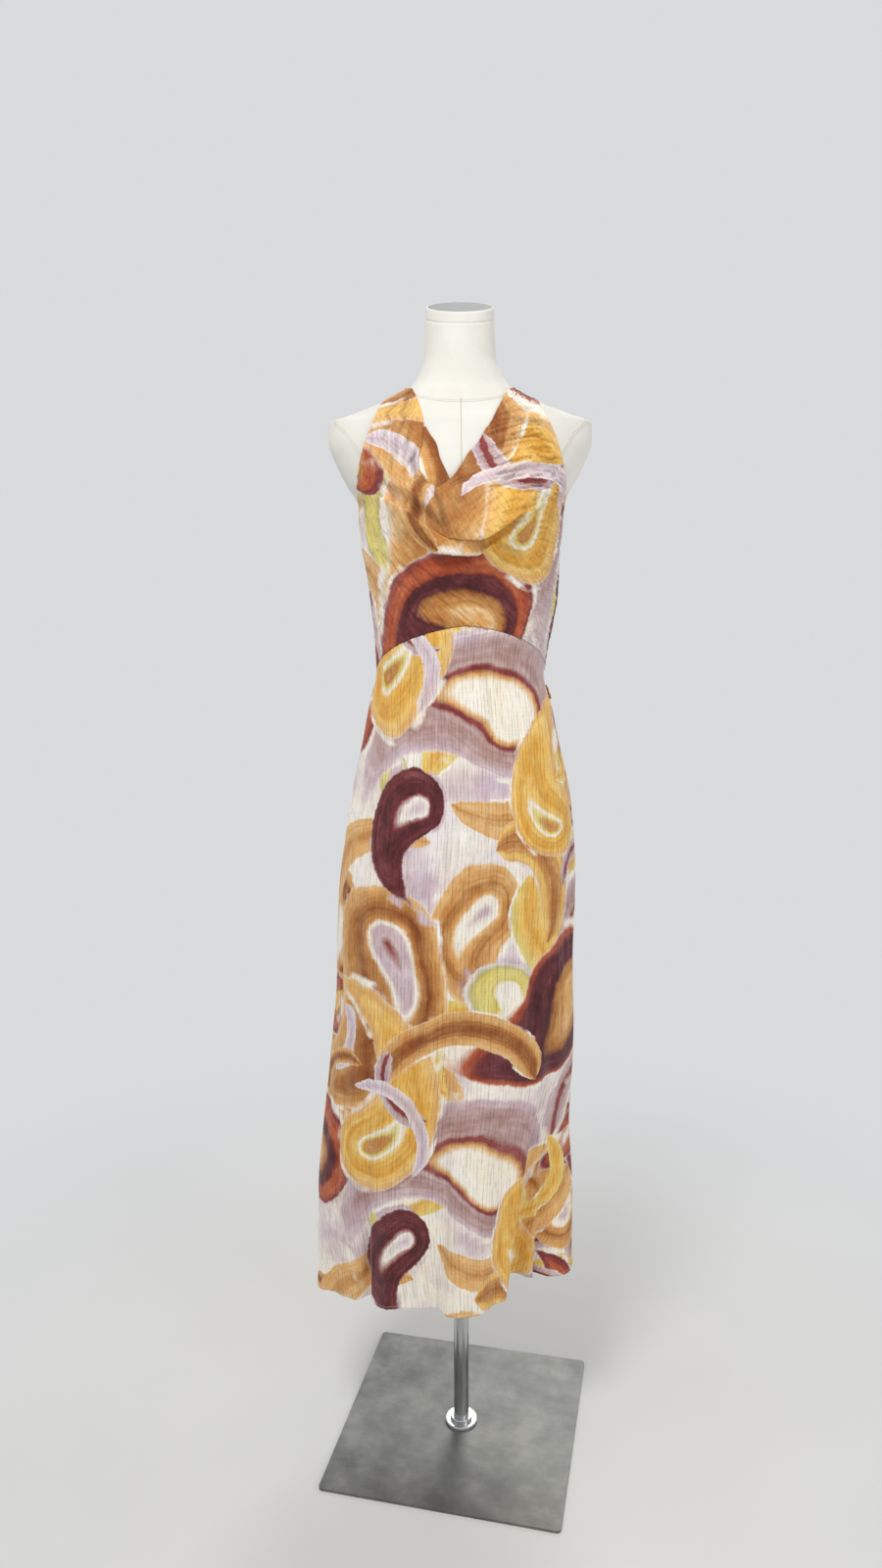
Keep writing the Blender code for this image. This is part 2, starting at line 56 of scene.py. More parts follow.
lens = bpy.data.cameras.new("camera")
lens.lens = CAMERA_LENS
lens.sensor_width = 36
lens.sensor_fit = "AUTO"
camera = bpy.data.objects.new("camera", lens)
turned = Matrix.Rotation(math.pi / 2 - CAMERA_DOWN, 4, "X") @ Matrix.Rotation(CAMERA_ROLL, 4, "Z")
camera.matrix_world = Matrix.Translation(CAMERA_PLACE) @ turned
bpy.context.scene.collection.objects.link(camera)
bpy.context.scene.camera = camera
bpy.context.scene.view_settings.view_transform = "Standard"


# ======== Floor, backdrop and lamps ========
# A pale floor that runs up into a pale world, one large soft lamp high at the front left,
# a weaker one at the right and one behind, so that the folds and the crinkle show.
class Bench:
    """Adds shader nodes to one tree, each wired as it is made."""

    def __init__(self, tree):
        self.tree = tree

    def add(self, kind, feeds=None, out=0, **settings):
        node = self.tree.nodes.new("ShaderNode" + kind)
        for name, value in settings.items():
            setattr(node, name, value)
        for name, value in (feeds or {}).items():
            self.feed(node.inputs[name], value)
        return node.outputs[out]

    def feed(self, socket, value):
        if isinstance(value, bpy.types.NodeSocket):
            self.tree.links.new(value, socket)
        else:
            socket.default_value = value

    def sum(self, operation, *values):
        return self.add("Math", dict(enumerate(values)), operation=operation)

    def weighed(self, *pairs):
        """Values added up, each times its weight."""
        total, *others = [self.sum("MULTIPLY", value, weight) for value, weight in pairs]
        for other in others:
            total = self.sum("ADD", total, other)
        return total

    def vector(self, operation, *values, out=0):
        return self.add("VectorMath", dict(enumerate(values)), out, operation=operation)

    def place(self):
        """Where a point lies in its own piece, in metres."""
        return self.add("TexCoord", out=3)

    def parts(self, vector):
        return self.add("SeparateXYZ", {"Vector": vector}).node.outputs

    def turned(self, vector, angle):
        return self.add("VectorRotate", {"Vector": vector, "Angle": angle}, rotation_type="Z_AXIS")

    def noise(self, place, scale, detail=2.0, roughness=0.5, out=0):
        """Clouds; a scale for each axis draws them out into streaks."""
        if isinstance(scale, tuple):
            place, scale = self.vector("MULTIPLY", place, scale), 1.0
        feeds = {"Vector": place, "Scale": scale, "Detail": detail, "Roughness": roughness}
        return self.add("TexNoise", feeds, out)

    def mix(self, share, first, second, blend="MIX"):
        """Two colours mixed by a share from 0 to 1."""
        node = self.tree.nodes.new("ShaderNodeMix")
        node.data_type = "RGBA"
        node.blend_type = blend
        node.clamp_factor = True
        self.feed(node.inputs[0], share)
        self.feed(node.inputs[6], first)
        self.feed(node.inputs[7], second)
        return node.outputs[2]

    def ramp(self, value, stops, interpolation="LINEAR"):
        """Colours along a value: each stop is a place from 0 to 1 and a colour."""
        node = self.tree.nodes.new("ShaderNodeValToRGB")
        bar = node.color_ramp
        bar.interpolation = interpolation
        while len(bar.elements) < len(stops):
            bar.elements.new(0.5)
        for element, (place, colour) in zip(bar.elements, stops):
            element.position = place
            element.color = colour
        self.feed(node.inputs[0], value)
        return node.outputs[0]

    def two_tones(self, value, low, dark, high, pale):
        """A seen colour up to one value, and another from a higher value on."""
        return self.ramp(value, [(low, seen(*dark)), (high, seen(*pale))])

    def bump(self, shader, height, strength, distance):
        feeds = {"Height": height, "Strength": strength, "Distance": distance}
        self.feed(shader.inputs["Normal"], self.add("Bump", feeds))


def seen(*colour):
    """A colour as the eye sees it, red, green and blue from 0 to 255, in the units that shaders take."""
    parts = [part / 255 for part in colour]
    return (*[p / 12.92 if p < 0.04045 else ((p + 0.055) / 1.055) ** 2.4 for p in parts], 1.0)


def new_material(name, roughness, metallic=0.0, **sockets):
    """A material with a plain Principled shader: its bench and its shader come back with it."""
    material = bpy.data.materials.new(name)
    material.use_nodes = True
    shader = material.node_tree.nodes["Principled BSDF"]
    shader.inputs["Roughness"].default_value = roughness
    shader.inputs["Metallic"].default_value = metallic
    for socket, value in sockets.items():
        shader.inputs[socket.replace("_", " ")].default_value = value
    return material, Bench(material.node_tree), shader


def new_mesh(name, points, faces, material):
    """A smooth-shaded object made of points and faces given as arrays."""
    mesh = bpy.data.meshes.new(name)
    faces = [tuple(map(int, face)) for face in faces]
    mesh.from_pydata([tuple(map(float, point)) for point in points], [], faces)
    mesh.shade_smooth()
    mesh.materials.append(material)
    thing = bpy.data.objects.new(name, mesh)
    bpy.context.scene.collection.objects.link(thing)
    return thing


FLOOR_REACH = 14.0
FLOOR_FADE = (0.30, 1.7)  # between these distances from the stand the floor runs up into the backdrop
BACKDROP = (0.96, 0.98, 1.0, 1.0)
WORLD_SEEN = 0.72  # how bright the backdrop looks
WORLD_LIGHT = 0.45  # how brightly it lights the dress
floor_material, bench, shader = new_material("pale_floor", 0.75)
floor_tone = bench.two_tones(bench.noise(bench.place(), 1.3, 4.0), 0.3, (226, 225, 222), 0.7, (233, 232, 229))
away = bench.vector("LENGTH", bench.vector("MULTIPLY", bench.place(), (1.0, 1.0, 0.0)), out=1)
feeds = {"Value": away, "From Min": FLOOR_FADE[0], "From Max": FLOOR_FADE[1]}
away = bench.add("MapRange", feeds, interpolation_type="SMOOTHSTEP")
bench.feed(shader.inputs["Base Color"], bench.mix(away, floor_tone, (0.0, 0.0, 0.0, 1.0)))
shader.inputs["Specular IOR Level"].default_value = 0.0
shader.inputs["Emission Color"].default_value = BACKDROP
bench.feed(shader.inputs["Emission Strength"], bench.sum("MULTIPLY", away, WORLD_SEEN))
floor_points = [(x * FLOOR_REACH, y * FLOOR_REACH, 0) for x, y in ((-1, -1), (1, -1), (1, 1), (-1, 1))]
floor = new_mesh("floor", floor_points, [(0, 1, 2, 3)], floor_material)

world = bpy.data.worlds.new("studio")
bpy.context.scene.world = world
world.use_nodes = True
bench = Bench(world.node_tree)
background = world.node_tree.nodes["Background"]
rays = bench.add("LightPath").node.outputs
shown = bench.sum("MAXIMUM", rays["Is Camera Ray"], rays["Is Glossy Ray"])
strength = bench.sum("MULTIPLY_ADD", shown, WORLD_SEEN - WORLD_LIGHT, WORLD_LIGHT)
background.inputs["Color"].default_value = BACKDROP
bench.feed(background.inputs["Strength"], strength)

LAMPS_AIM = (0, 0, 1.1)
Lamp = namedtuple("Lamp", "name place size power")
LAMPS = [
    Lamp("key", (-0.7, -1.5, 3.5), 0.9, 40),
    Lamp("fill", (2.4, -2.4, 1.9), 1.8, 22),
    Lamp("rim", (0.6, 2.6, 2.9), 1.6, 36),
]
for lamp in LAMPS:
    light = bpy.data.lights.new(lamp.name, "AREA")
    light.shape = "DISK"
    light.size = lamp.size
    light.energy = lamp.power
    thing = bpy.data.objects.new(lamp.name, light)
    thing.location = lamp.place
    thing.rotation_euler = (Vector(LAMPS_AIM) - thing.location).to_track_quat("-Z", "Y").to_euler()
    bpy.context.scene.collection.objects.link(thing)


# ======== Base plate ========
# A square of steel plate with small round corners, brushed one way and clouded by handling.
# It lies flat on the floor and carries the pole.
PLATE_TURN = math.radians(-12.7)
plate_material, bench, shader = new_material("brushed_plate", 0.4, 1.0, Anisotropic=0.35)
along = bench.turned(bench.place(), -PLATE_TURN)
grain = bench.noise(along, (9.0, 900.0, 1.0), 3.0, 0.6)
cloud = bench.noise(bench.place(), 13.0, 6.0, 0.66)
smear = bench.noise(along, (6.0, 22.0, 1.0), 4.0, 0.6)
tone = bench.weighed((cloud, 0.8), (smear, 0.2))
steel_tones = [(0.39, seen(104, 104, 101)), (0.5, seen(126, 126, 122)), (0.61, seen(150, 149, 144))]
steel = bench.ramp(tone, steel_tones)
steel = bench.mix(0.25, steel, bench.two_tones(grain, 0.3, (104, 104, 101), 0.7, (134, 134, 129)))
bench.feed(shader.inputs["Base Color"], steel)
bench.feed(shader.inputs["Roughness"], bench.sum("MULTIPLY_ADD", tone, 0.30, 0.36))
bench.bump(shader, grain, 0.25, 0.0001)


def finish_node(name, material):
    """A CAD node that keeps its shape gets its real finish."""
    nodes[name].data.materials.clear()
    nodes[name].data.materials.append(material)


finish_node("base_plate", plate_material)

# ======== Pole, its flange and the collar under the form ========
# Polished steel tube, turned rings at the foot and a collar that grips it under the form.
pole_material, bench, shader = new_material("polished_pole", 0.16, 1.0)
marks = bench.noise(bench.place(), (60.0, 60.0, 6.0), 4.0, 0.6)
steel = bench.two_tones(marks, 0.35, (176, 177, 178), 0.65, (206, 206, 206))
bench.feed(shader.inputs["Base Color"], steel)
bench.feed(shader.inputs["Roughness"], bench.sum("MULTIPLY_ADD", marks, 0.16, 0.10))
for name in ("pole", "base_flange", "form_collar"):
    finish_node(name, pole_material)
    nodes[name].data.shade_smooth()
    nodes[name].data.set_sharp_from_angle(angle=math.radians(35))


# ======== Dress form ========
# A padded torso with no arms or head, covered in cream linen: the cover is sewn from panels
# with pressed seams, and its neck ends in a sewn band round a grey disc set on a slope.
Section = namedtuple("Section", "height shift half_width front back")
FORM_SECTIONS = [Section(*row) for row in [
    (0.800, 0, 0.150, 0.092, 0.104),
    (0.812, 0, 0.159, 0.101, 0.114),
    (0.860, 0, 0.166, 0.106, 0.123),
    (0.940, 0, 0.171, 0.109, 0.129),
    (1.010, 0, 0.167, 0.108, 0.127),
    (1.080, 0, 0.156, 0.106, 0.118),
    (1.150, 0, 0.141, 0.101, 0.102),
    (1.210, 0, 0.128, 0.095, 0.088),
    (1.265, 0, 0.120, 0.090, 0.080),
    (1.320, 0, 0.122, 0.094, 0.082),
    (1.380, 0, 0.129, 0.104, 0.088),
    (1.430, 0, 0.136, 0.116, 0.093),
    (1.470, 0, 0.143, 0.121, 0.097),
    (1.505, 0, 0.146, 0.118, 0.101),
    (1.543, 0, 0.167, 0.108, 0.104),
    (1.571, 0, 0.181, 0.100, 0.104),
    (1.605, 0, 0.192, 0.088, 0.099),
    (1.629, 0, 0.191, 0.078, 0.091),
    (1.6375, 0, 0.168, 0.072, 0.087),
    (1.646, 0, 0.145, 0.067, 0.083),
    (1.656, 0, 0.118, 0.062, 0.079),
    (1.667, 0, 0.094, 0.058, 0.075),
    (1.680, 0, 0.072, 0.053, 0.070),
    (1.696, 0, 0.061, 0.050, 0.062),
    (1.720, 0, 0.0525, 0.048, 0.054),
    (1.768, 0, 0.0493, 0.047, 0.049),
    (1.810, 0, 0.0488, 0.047, 0.048),
]]
FORM_BOTTOM = 0.800
NECK_TOP = 1.791
NECK_TILT = math.tan(math.radians(22))
NECK_TILT_START = 1.715


def curve_through(heights, values):
    """A smooth curve through the values that never swings past them, for an array of heights."""
    heights, values = np.array(heights, float), np.array(values, float)
    steps = np.diff(heights)
    slopes = np.diff(values) / steps
    before, after = slopes[:-1], slopes[1:]
    safe = np.where(before * after > 0, before + after, 1.0)
    inner = np.where(before * after > 0, 2 * before * after / safe, 0.0)
    tangents = np.concatenate([slopes[:1], inner, slopes[-1:]])

    def value(height):
        height = np.clip(height, heights[0], heights[-1])
        k = np.clip(np.searchsorted(heights, height, side="right") - 1, 0, len(steps) - 1)
        t = (height - heights[k]) / steps[k]
        ends = values[k] * (1 + 2 * t) * (1 - t) ** 2 + values[k + 1] * t * t * (3 - 2 * t)
        bend = tangents[k] * t * (1 - t) ** 2 - tangents[k + 1] * t * t * (1 - t)
        return ends + bend * steps[k]

    return value


def table_curves(rows):
    """One curve for each column of a table after its heights."""
    heights = [row.height for row in rows]
    return [curve_through(heights, column) for column in list(zip(*rows))[1:]]


def smooth_step(value, low, high):
    t = np.clip((value - low) / (high - low), 0.0, 1.0)
    return t * t * (3 - 2 * t)


def bump(t):
    """A soft hump, 1 at 0 and level with its surroundings from -1 to 1 outwards."""
    return np.where(np.abs(t) < 1, 0.5 + 0.5 * np.cos(math.pi * np.clip(t, -1, 1)), 0.0)


form_curves = table_curves(FORM_SECTIONS)


def form_section(height):
    return [curve(height) for curve in form_curves]


def on_section(section, angle, height):
    """Points round sections: angle 0 is centre front and a quarter turn the wearer's left."""
    shift, half_width, front, back = section
    depth = np.where(np.cos(angle) > 0, front, back)
    return np.stack([shift + half_width * np.sin(angle), -depth * np.cos(angle), height + 0 * angle], axis=-1)


STEP_TURN = 0.001
STEP_CLIMB = 0.0005


def off_sections(section_at, angle, height, out):
    """Points that lie out from the surface through the sections, at a right angle to it."""
    angle, height = np.broadcast_arrays(np.asarray(angle, float), np.asarray(height, float))
    point = on_section(section_at(height), angle, height)
    across = on_section(section_at(height), angle + STEP_TURN, height) - point
    up = on_section(section_at(height + STEP_CLIMB), angle, height + STEP_CLIMB) - point
    facing = np.cross(across, up)
    facing /= np.linalg.norm(facing, axis=-1, keepdims=True)
    return point + facing * np.asarray(out)[..., None]


def tilted(points):
    """The neck's top leans forward: points in front go down and points behind go up."""
    share = smooth_step(points[..., 2], NECK_TILT_START, NECK_TOP)
    moved = points.copy()
    moved[..., 2] += NECK_TILT * points[..., 1] * share
    return moved


def grid_faces(rows, columns, first=0, closed=False):
    """Quads of a grid whose points are numbered row by row from first."""
    number = first + np.arange(rows * columns).reshape(rows, columns)
    after = np.roll(number, -1, axis=1) if closed else number[:, 1:]
    number = number if closed else number[:, :-1]
    return np.stack([number[:-1], after[:-1], after[1:], number[1:]], axis=-1).reshape(-1, 4)


CENTRE_SEAM_TOP = 1.655  # the seam down the middle ends at the neck's base
CENTRE_SEAM_DARK = 0.0011  # half the width that it shades
linen_material, bench, shader = new_material("form_linen", 0.82, Sheen_Weight=0.15, Sheen_Roughness=0.5)
warp = bench.noise(bench.place(), (1500.0, 1500.0, 260.0), 1.0)
weft = bench.noise(bench.place(), (260.0, 260.0, 1500.0), 1.0)
weave = bench.sum("ADD", warp, weft)
slub = bench.noise(bench.place(), 14.0, 4.0, 0.6)
linen = bench.two_tones(slub, 0.35, (226, 221, 209), 0.65, (236, 232, 222))
linen = bench.mix(0.25, linen, bench.two_tones(weave, 0.3, (204, 197, 181), 0.7, (244, 241, 233)))
spot = bench.parts(bench.place())
centre = bench.sum("MULTIPLY", bench.sum("ABSOLUTE", spot["X"]), 1 / CENTRE_SEAM_DARK)
centre = bench.sum("ADD", centre, bench.sum("GREATER_THAN", spot["Z"], CENTRE_SEAM_TOP))
seam_shade = bench.two_tones(centre, 0.3, (220, 213, 198), 1.0, (255, 255, 255))
bench.feed(shader.inputs["Base Color"], bench.mix(1.0, linen, seam_shade, "MULTIPLY"))
bench.bump(shader, weave, 0.35, 0.0004)

FORM_SIDES = 216
FORM_STEP = 0.0045
SHOULDER_LEVELS = (1.625, 1.69, 0.0015)  # closer rows where the form turns from shoulder to neck
BAND_SEAM = 1.7735  # the stitched line under the neck's band
SEAM_GROOVE = 0.0009
SEAM_REACH = 0.0016
SEAM_SIDE = math.radians(0.75)  # half the width of the centre seams, as a turn
RIM_RADIUS = 0.0022  # rolled edge of the neck's band
RIM_ROWS = 7
CAP_SHARE = 0.985  # of the neck's width
CAP_SINK = 0.0018
BOTTOM_SHARE = 0.97

levels = [FORM_BOTTOM + 0.0006, FORM_BOTTOM + 0.002]
levels += list(np.arange(FORM_BOTTOM + 0.005, NECK_TOP - 0.003, FORM_STEP))
levels += [BAND_SEAM + d for d in (-0.0022, -0.0008, 0.0, 0.0008, 0.0022)]
levels += list(np.arange(*SHOULDER_LEVELS))
levels = np.array(sorted(levels))
sides = list(np.linspace(0, 2 * math.pi, FORM_SIDES, endpoint=False))
sides += [turn + d * SEAM_SIDE for turn in (0, math.pi) for d in (-2.2, -1, 1, 2.2)]
sides = np.sort(np.mod(np.array(sides), 2 * math.pi))


def form_ring(height, scale=1.0, lift=0.0):
    """The form's section at one height, shrunk or lifted, as a ring of points."""
    level = np.full_like(sides, height)
    ring = on_section(form_section(level), sides, level)
    ring[:, :2] *= scale
    ring[:, 2] += lift
    return ring


def closed_rings(name, rings, material):
    """A body through rings of points, from its flat bottom to its flat top."""
    rings = np.array(rings)
    count, around = rings.shape[0] * rings.shape[1], rings.shape[1]
    faces = grid_faces(len(rings), around, closed=True).tolist()
    faces += [list(range(around))[::-1], list(range(count - around, count))]
    body = new_mesh(name, rings.reshape(-1, 3), faces, material)
    for end in body.data.polygons[-2:]:
        end.use_smooth = False
    return body


side_grid, level_grid = np.meshgrid(sides, levels)
sink = SEAM_GROOVE * bump((level_grid - BAND_SEAM) / SEAM_REACH)
turn_off = np.abs((side_grid + 0.5 * math.pi) % math.pi - 0.5 * math.pi)
sink += SEAM_GROOVE * 0.8 * bump(turn_off / SEAM_SIDE / 0.95) * (level_grid < CENTRE_SEAM_TOP)
skin = off_sections(form_section, side_grid, level_grid, -sink)
rings = [form_ring(FORM_BOTTOM, BOTTOM_SHARE), *tilted(skin)]
for angle in np.linspace(0, 1, RIM_ROWS) * math.pi / 2:
    scale = 1 - RIM_RADIUS * (1 - math.cos(angle)) / FORM_SECTIONS[-1].back
    rings.append(tilted(form_ring(NECK_TOP, scale, RIM_RADIUS * math.sin(angle) - RIM_RADIUS)))
rings.append(rings[-1] * (CAP_SHARE, CAP_SHARE, 1) - (0, 0, CAP_SINK))
torso = closed_rings("torso", rings, linen_material)
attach(torso, "root")
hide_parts("form_torso")

# The disc on the neck is matt grey, with a softened edge.
cap_material, bench, shader = new_material("cap_disc", 0.6)
speck = bench.noise(bench.place(), 60.0, 3.0)
grey = bench.two_tones(speck, 0.35, (136, 140, 136), 0.65, (146, 149, 146))
bench.feed(shader.inputs["Base Color"], grey)
# Its rings, from the lowest up: shares of its seat's width, and heights.
CAP_RINGS = ((0.965, -0.0027), (0.965, -0.0012), (0.955, -0.0004), (0.90, 0.0))
rings = [tilted(form_ring(NECK_TOP, share * CAP_SHARE, rise)) for share, rise in CAP_RINGS]
cap = closed_rings("neck_disc", rings, cap_material)
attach(cap, "root")
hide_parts("neck_cap")

# A row of stitches: short bars of thread that lie along a path on the cloth and dip in at both ends.
STITCH_PITCH = 0.0034
STITCH_LENGTH = 0.0023
STITCH_HALF = 0.00028
STITCH_SIDES = 6
StitchRing = namedtuple("StitchRing", "along size lift")  # shares of the length and of the half width
STITCH_RINGS = [
    StitchRing(0.0, 0.15, -0.9),
    StitchRing(0.12, 0.8, 0.1),
    StitchRing(0.5, 1.0, 0.5),
    StitchRing(0.88, 0.8, 0.1),
    StitchRing(1.0, 0.15, -0.9),
]


def new_thread(name, dark, pale):
    """Twisted sewing thread in two close colours."""
    material, bench, shader = new_material(name, 0.7, Sheen_Weight=0.2)
    twist = bench.noise(bench.place(), 900.0, 2.0)
    bench.feed(shader.inputs["Base Color"], bench.two_tones(twist, 0.35, dark, 0.65, pale))
    return material


def stitches(name, paths, thread):
    """Stitches along paths; each path is its points and the cloth's outward directions there."""
    points, faces = [], []
    for path, facing in paths:
        lengths = np.concatenate([[0.0], np.cumsum(np.linalg.norm(np.diff(path, axis=0), axis=1))])
        for start in np.arange(0.5 * STITCH_PITCH, lengths[-1] - STITCH_PITCH, STITCH_PITCH):
            spots = start + STITCH_LENGTH * np.array([ring.along for ring in STITCH_RINGS])
            middle = np.stack([np.interp(spots, lengths, path[:, axis]) for axis in range(3)], axis=-1)
            up = np.array([np.interp(start, lengths, facing[:, axis]) for axis in range(3)])
            side = np.cross(middle[-1] - middle[0], up)
            side /= np.linalg.norm(side)
            first = len(points)
            for spot, ring in zip(middle, STITCH_RINGS):
                for corner in np.arange(STITCH_SIDES) * 2 * math.pi / STITCH_SIDES:
                    way = side * math.cos(corner) + up * math.sin(corner)
                    points.append(spot + STITCH_HALF * (ring.size * way + ring.lift * up))
            faces += grid_faces(len(STITCH_RINGS), STITCH_SIDES, first, closed=True).tolist()
            faces += [list(range(first, first + STITCH_SIDES))[::-1]]
            faces += [list(range(len(points) - STITCH_SIDES, len(points)))]
    row = new_mesh(name, points, faces, thread)
    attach(row, "root")
    return row


# Pressed seams of the cover, in degrees from centre front and heights: the neck's base from the
# front round to the nape, then those that both sides have, on the wearer's left.
NECK_SEAM = [(0, 1.650), (45, 1.664), (80, 1.678), (120, 1.686), (180, 1.688)]
PAIRED_SEAMS = {
    "armhole": [(99, 1.6365), (82, 1.6365), (67, 1.624), (54, 1.600), (50, 1.570), (56, 1.530)],
    "armhole_back": [(99, 1.6365), (115, 1.624), (124, 1.598), (124, 1.56), (112, 1.515), (95, 1.495)],
    "shoulder": [(89, 1.680), (88, 1.660), (86, 1.648), (82, 1.6365)],
    "back": [(124, 1.575), (140, 1.53), (148, 1.45), (152, 1.35), (152, 1.26), (148, 1.15)],
}
seam_paths = {"neck_base": [(-turn, height) for turn, height in NECK_SEAM[:0:-1]] + NECK_SEAM}
for name, stops in PAIRED_SEAMS.items():
    seam_paths[name + "_right"] = [(-turn, height) for turn, height in stops]
    seam_paths[name + "_left"] = stops
SEAM_HALF = [(0.0, -0.0003), (0.2, 0.0004), (0.6, 0.0005), (1.0, -0.0004)]  # share of the half width, height
SEAM_PROFILE = [(-across, out) for across, out in SEAM_HALF[:0:-1]] + SEAM_HALF
SEAM_HALF_WIDTH = 0.0026
SEAM_STITCHES = SEAM_HALF[2]  # a row on each side of a seam
SEAM_POINTS = 90
form_thread = new_thread("form_thread", (192, 180, 156), (214, 204, 182))
seam_rows = []
for name, stops in seam_paths.items():
    stops = np.array(stops, float)
    share = np.linspace(0, len(stops) - 1, SEAM_POINTS)
    turn = np.radians(curve_through(range(len(stops)), stops[:, 0])(share))
    height = curve_through(range(len(stops)), stops[:, 1])(share)
    middle = off_sections(form_section, turn, height, np.zeros(SEAM_POINTS))
    facing = off_sections(form_section, turn, height, np.ones(SEAM_POINTS)) - middle
    along = np.gradient(middle, axis=0)
    side = np.cross(along, facing)
    side /= np.linalg.norm(side, axis=1, keepdims=True)
    rows = [middle + side * SEAM_HALF_WIDTH * across + facing * out for across, out in SEAM_PROFILE]
    strip = tilted(np.array(rows))
    seam = new_mesh("seam_" + name, strip.reshape(-1, 3), grid_faces(len(rows), SEAM_POINTS), linen_material)
    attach(seam, "root")
    for way in (-1, 1):
        row = middle + way * SEAM_STITCHES[0] * SEAM_HALF_WIDTH * side + facing * SEAM_STITCHES[1]
        seam_rows.append((tilted(row), facing))
stitches("form_stitches", seam_rows, form_thread)


# ======== Printed gauze ========
# The dress is a thin crinkled cotton gauze. It is printed with large brushed paisleys in ochre,
# caramel, burgundy, mauve and citron on off-white, with lilac washes and soft edges, and fine dark
# lines run up its weave.
REPEAT = (0.66, 0.70)  # the print's repeat, across and up, in metres of cloth
OFF_WHITE = seen(250, 243, 232)
LILAC = seen(214, 193, 201)
PALE_LILAC = seen(236, 224, 224)
MAUVE = seen(190, 158, 154)
BRICK = seen(146, 66, 66)
BURGUNDY = seen(96, 36, 42)
PLUM = seen(116, 50, 54)
RUST = seen(190, 98, 60)
CARAMEL = seen(180, 120, 62)
UMBER = seen(156, 94, 44)
OCHRE = seen(208, 152, 88)
TAN = seen(232, 186, 126)
GOLD = seen(241, 200, 112)
AMBER = seen(230, 178, 84)
CITRON = seen(230, 214, 132)
SAGE = seen(202, 194, 138)


def new_group(name, inputs, outputs):
    """An empty shader node group with named sockets: its tree, its bench and its two ends."""
    tree = bpy.data.node_groups.new(name, "ShaderNodeTree")
    for way, sockets in (("INPUT", inputs), ("OUTPUT", outputs)):
        for socket, kind in sockets:
            tree.interface.new_socket(socket, in_out=way, socket_type="NodeSocket" + kind)
    start, end = tree.nodes.new("NodeGroupInput"), tree.nodes.new("NodeGroupOutput")
    return tree, Bench(tree), start.outputs, end.inputs


MOTIF_SOCKETS = [("Cloth", "Vector"), ("Centre", "Vector")]
MOTIF_SOCKETS += [(name, "Float") for name in ("Turn", "Width", "Length", "Curl")]


def from_centre(bench, given):
    """The way on the cloth from the nearest copy of a motif's centre, and its length."""
    half = (REPEAT[0] / 2, REPEAT[1] / 2, 1.0)
    off = bench.vector("SUBTRACT", given["Cloth"], given["Centre"])
    off = bench.vector("WRAP", off, half, tuple(-side for side in half))
    return off, bench.vector("LENGTH", off, out=1)


def share_between(bench, value, low, high):
    """0 up to low and 1 from high on. Plain sums keep a long chain small, as clamped nodes do not."""
    share = bench.sum("MULTIPLY_ADD", value, 1 / (high - low), -low / (high - low))
    return bench.sum("MINIMUM", bench.sum("MAXIMUM", share, 0.0), 1.0)


# A teardrop's level is 0 in the middle of its head and 1 on its outline; its tail curls round.
HEAD_POWER = 2.0
TAIL_POWER = 1.6
EYE_SHIFT = 0.20  # the bands are broader on one flank than on the other
teardrop, bench, given, result = new_group("teardrop", MOTIF_SOCKETS, [("Level", "Float")])
off, away = from_centre(bench, given)
turn = bench.sum("MULTIPLY_ADD", away, given["Curl"], given["Turn"])
parts = bench.parts(bench.turned(off, bench.sum("MULTIPLY", turn, -1.0)))
ahead = bench.sum("GREATER_THAN", parts["X"], 0.0)
longer = bench.sum("SUBTRACT", given["Length"], given["Width"])
reach = bench.sum("MULTIPLY_ADD", ahead, longer, given["Width"])
power = bench.sum("MULTIPLY_ADD", ahead, TAIL_POWER - HEAD_POWER, HEAD_POWER)
along = bench.sum("POWER", bench.sum("DIVIDE", bench.sum("ABSOLUTE", parts["X"]), reach), power)
side = bench.sum("DIVIDE", parts["Y"], given["Width"])
aside = bench.sum("POWER", bench.sum("ABSOLUTE", side), power)
level = bench.sum("POWER", bench.sum("ADD", along, aside), bench.sum("DIVIDE", 1.0, power))
flank = bench.sum("MULTIPLY_ADD", bench.sum("MINIMUM", bench.sum("MAXIMUM", side, -1.0), 1.0), EYE_SHIFT, 1.0)
bench.feed(result["Level"], bench.sum("MULTIPLY", level, flank))

# A brushed arc's level is 0 along its middle line and 1 on its edges; it tapers to both ends.
END_POWER = 6.0
ARC_SWEEP = math.radians(72)  # half of how far an arc goes round
brushed_arc, bench, given, result = new_group("brushed_arc", MOTIF_SOCKETS, [("Level", "Float")])
off, away = from_centre(bench, given)
parts = bench.parts(bench.turned(off, bench.sum("MULTIPLY", given["Turn"], -1.0)))
round_it = bench.sum("ARCTAN2", parts["Y"], parts["X"])
radius = bench.sum("MULTIPLY_ADD", round_it, given["Curl"], given["Length"])
to_end = bench.sum("POWER", bench.sum("DIVIDE", bench.sum("ABSOLUTE", round_it), ARC_SWEEP), END_POWER)
taper = bench.sum("MAXIMUM", bench.sum("SUBTRACT", 1.0, to_end), 0.001)
breadth = bench.sum("MULTIPLY", given["Width"], taper)
aside = bench.sum("ABSOLUTE", bench.sum("SUBTRACT", away, radius))
bench.feed(result["Level"], bench.sum("DIVIDE", aside, breadth))

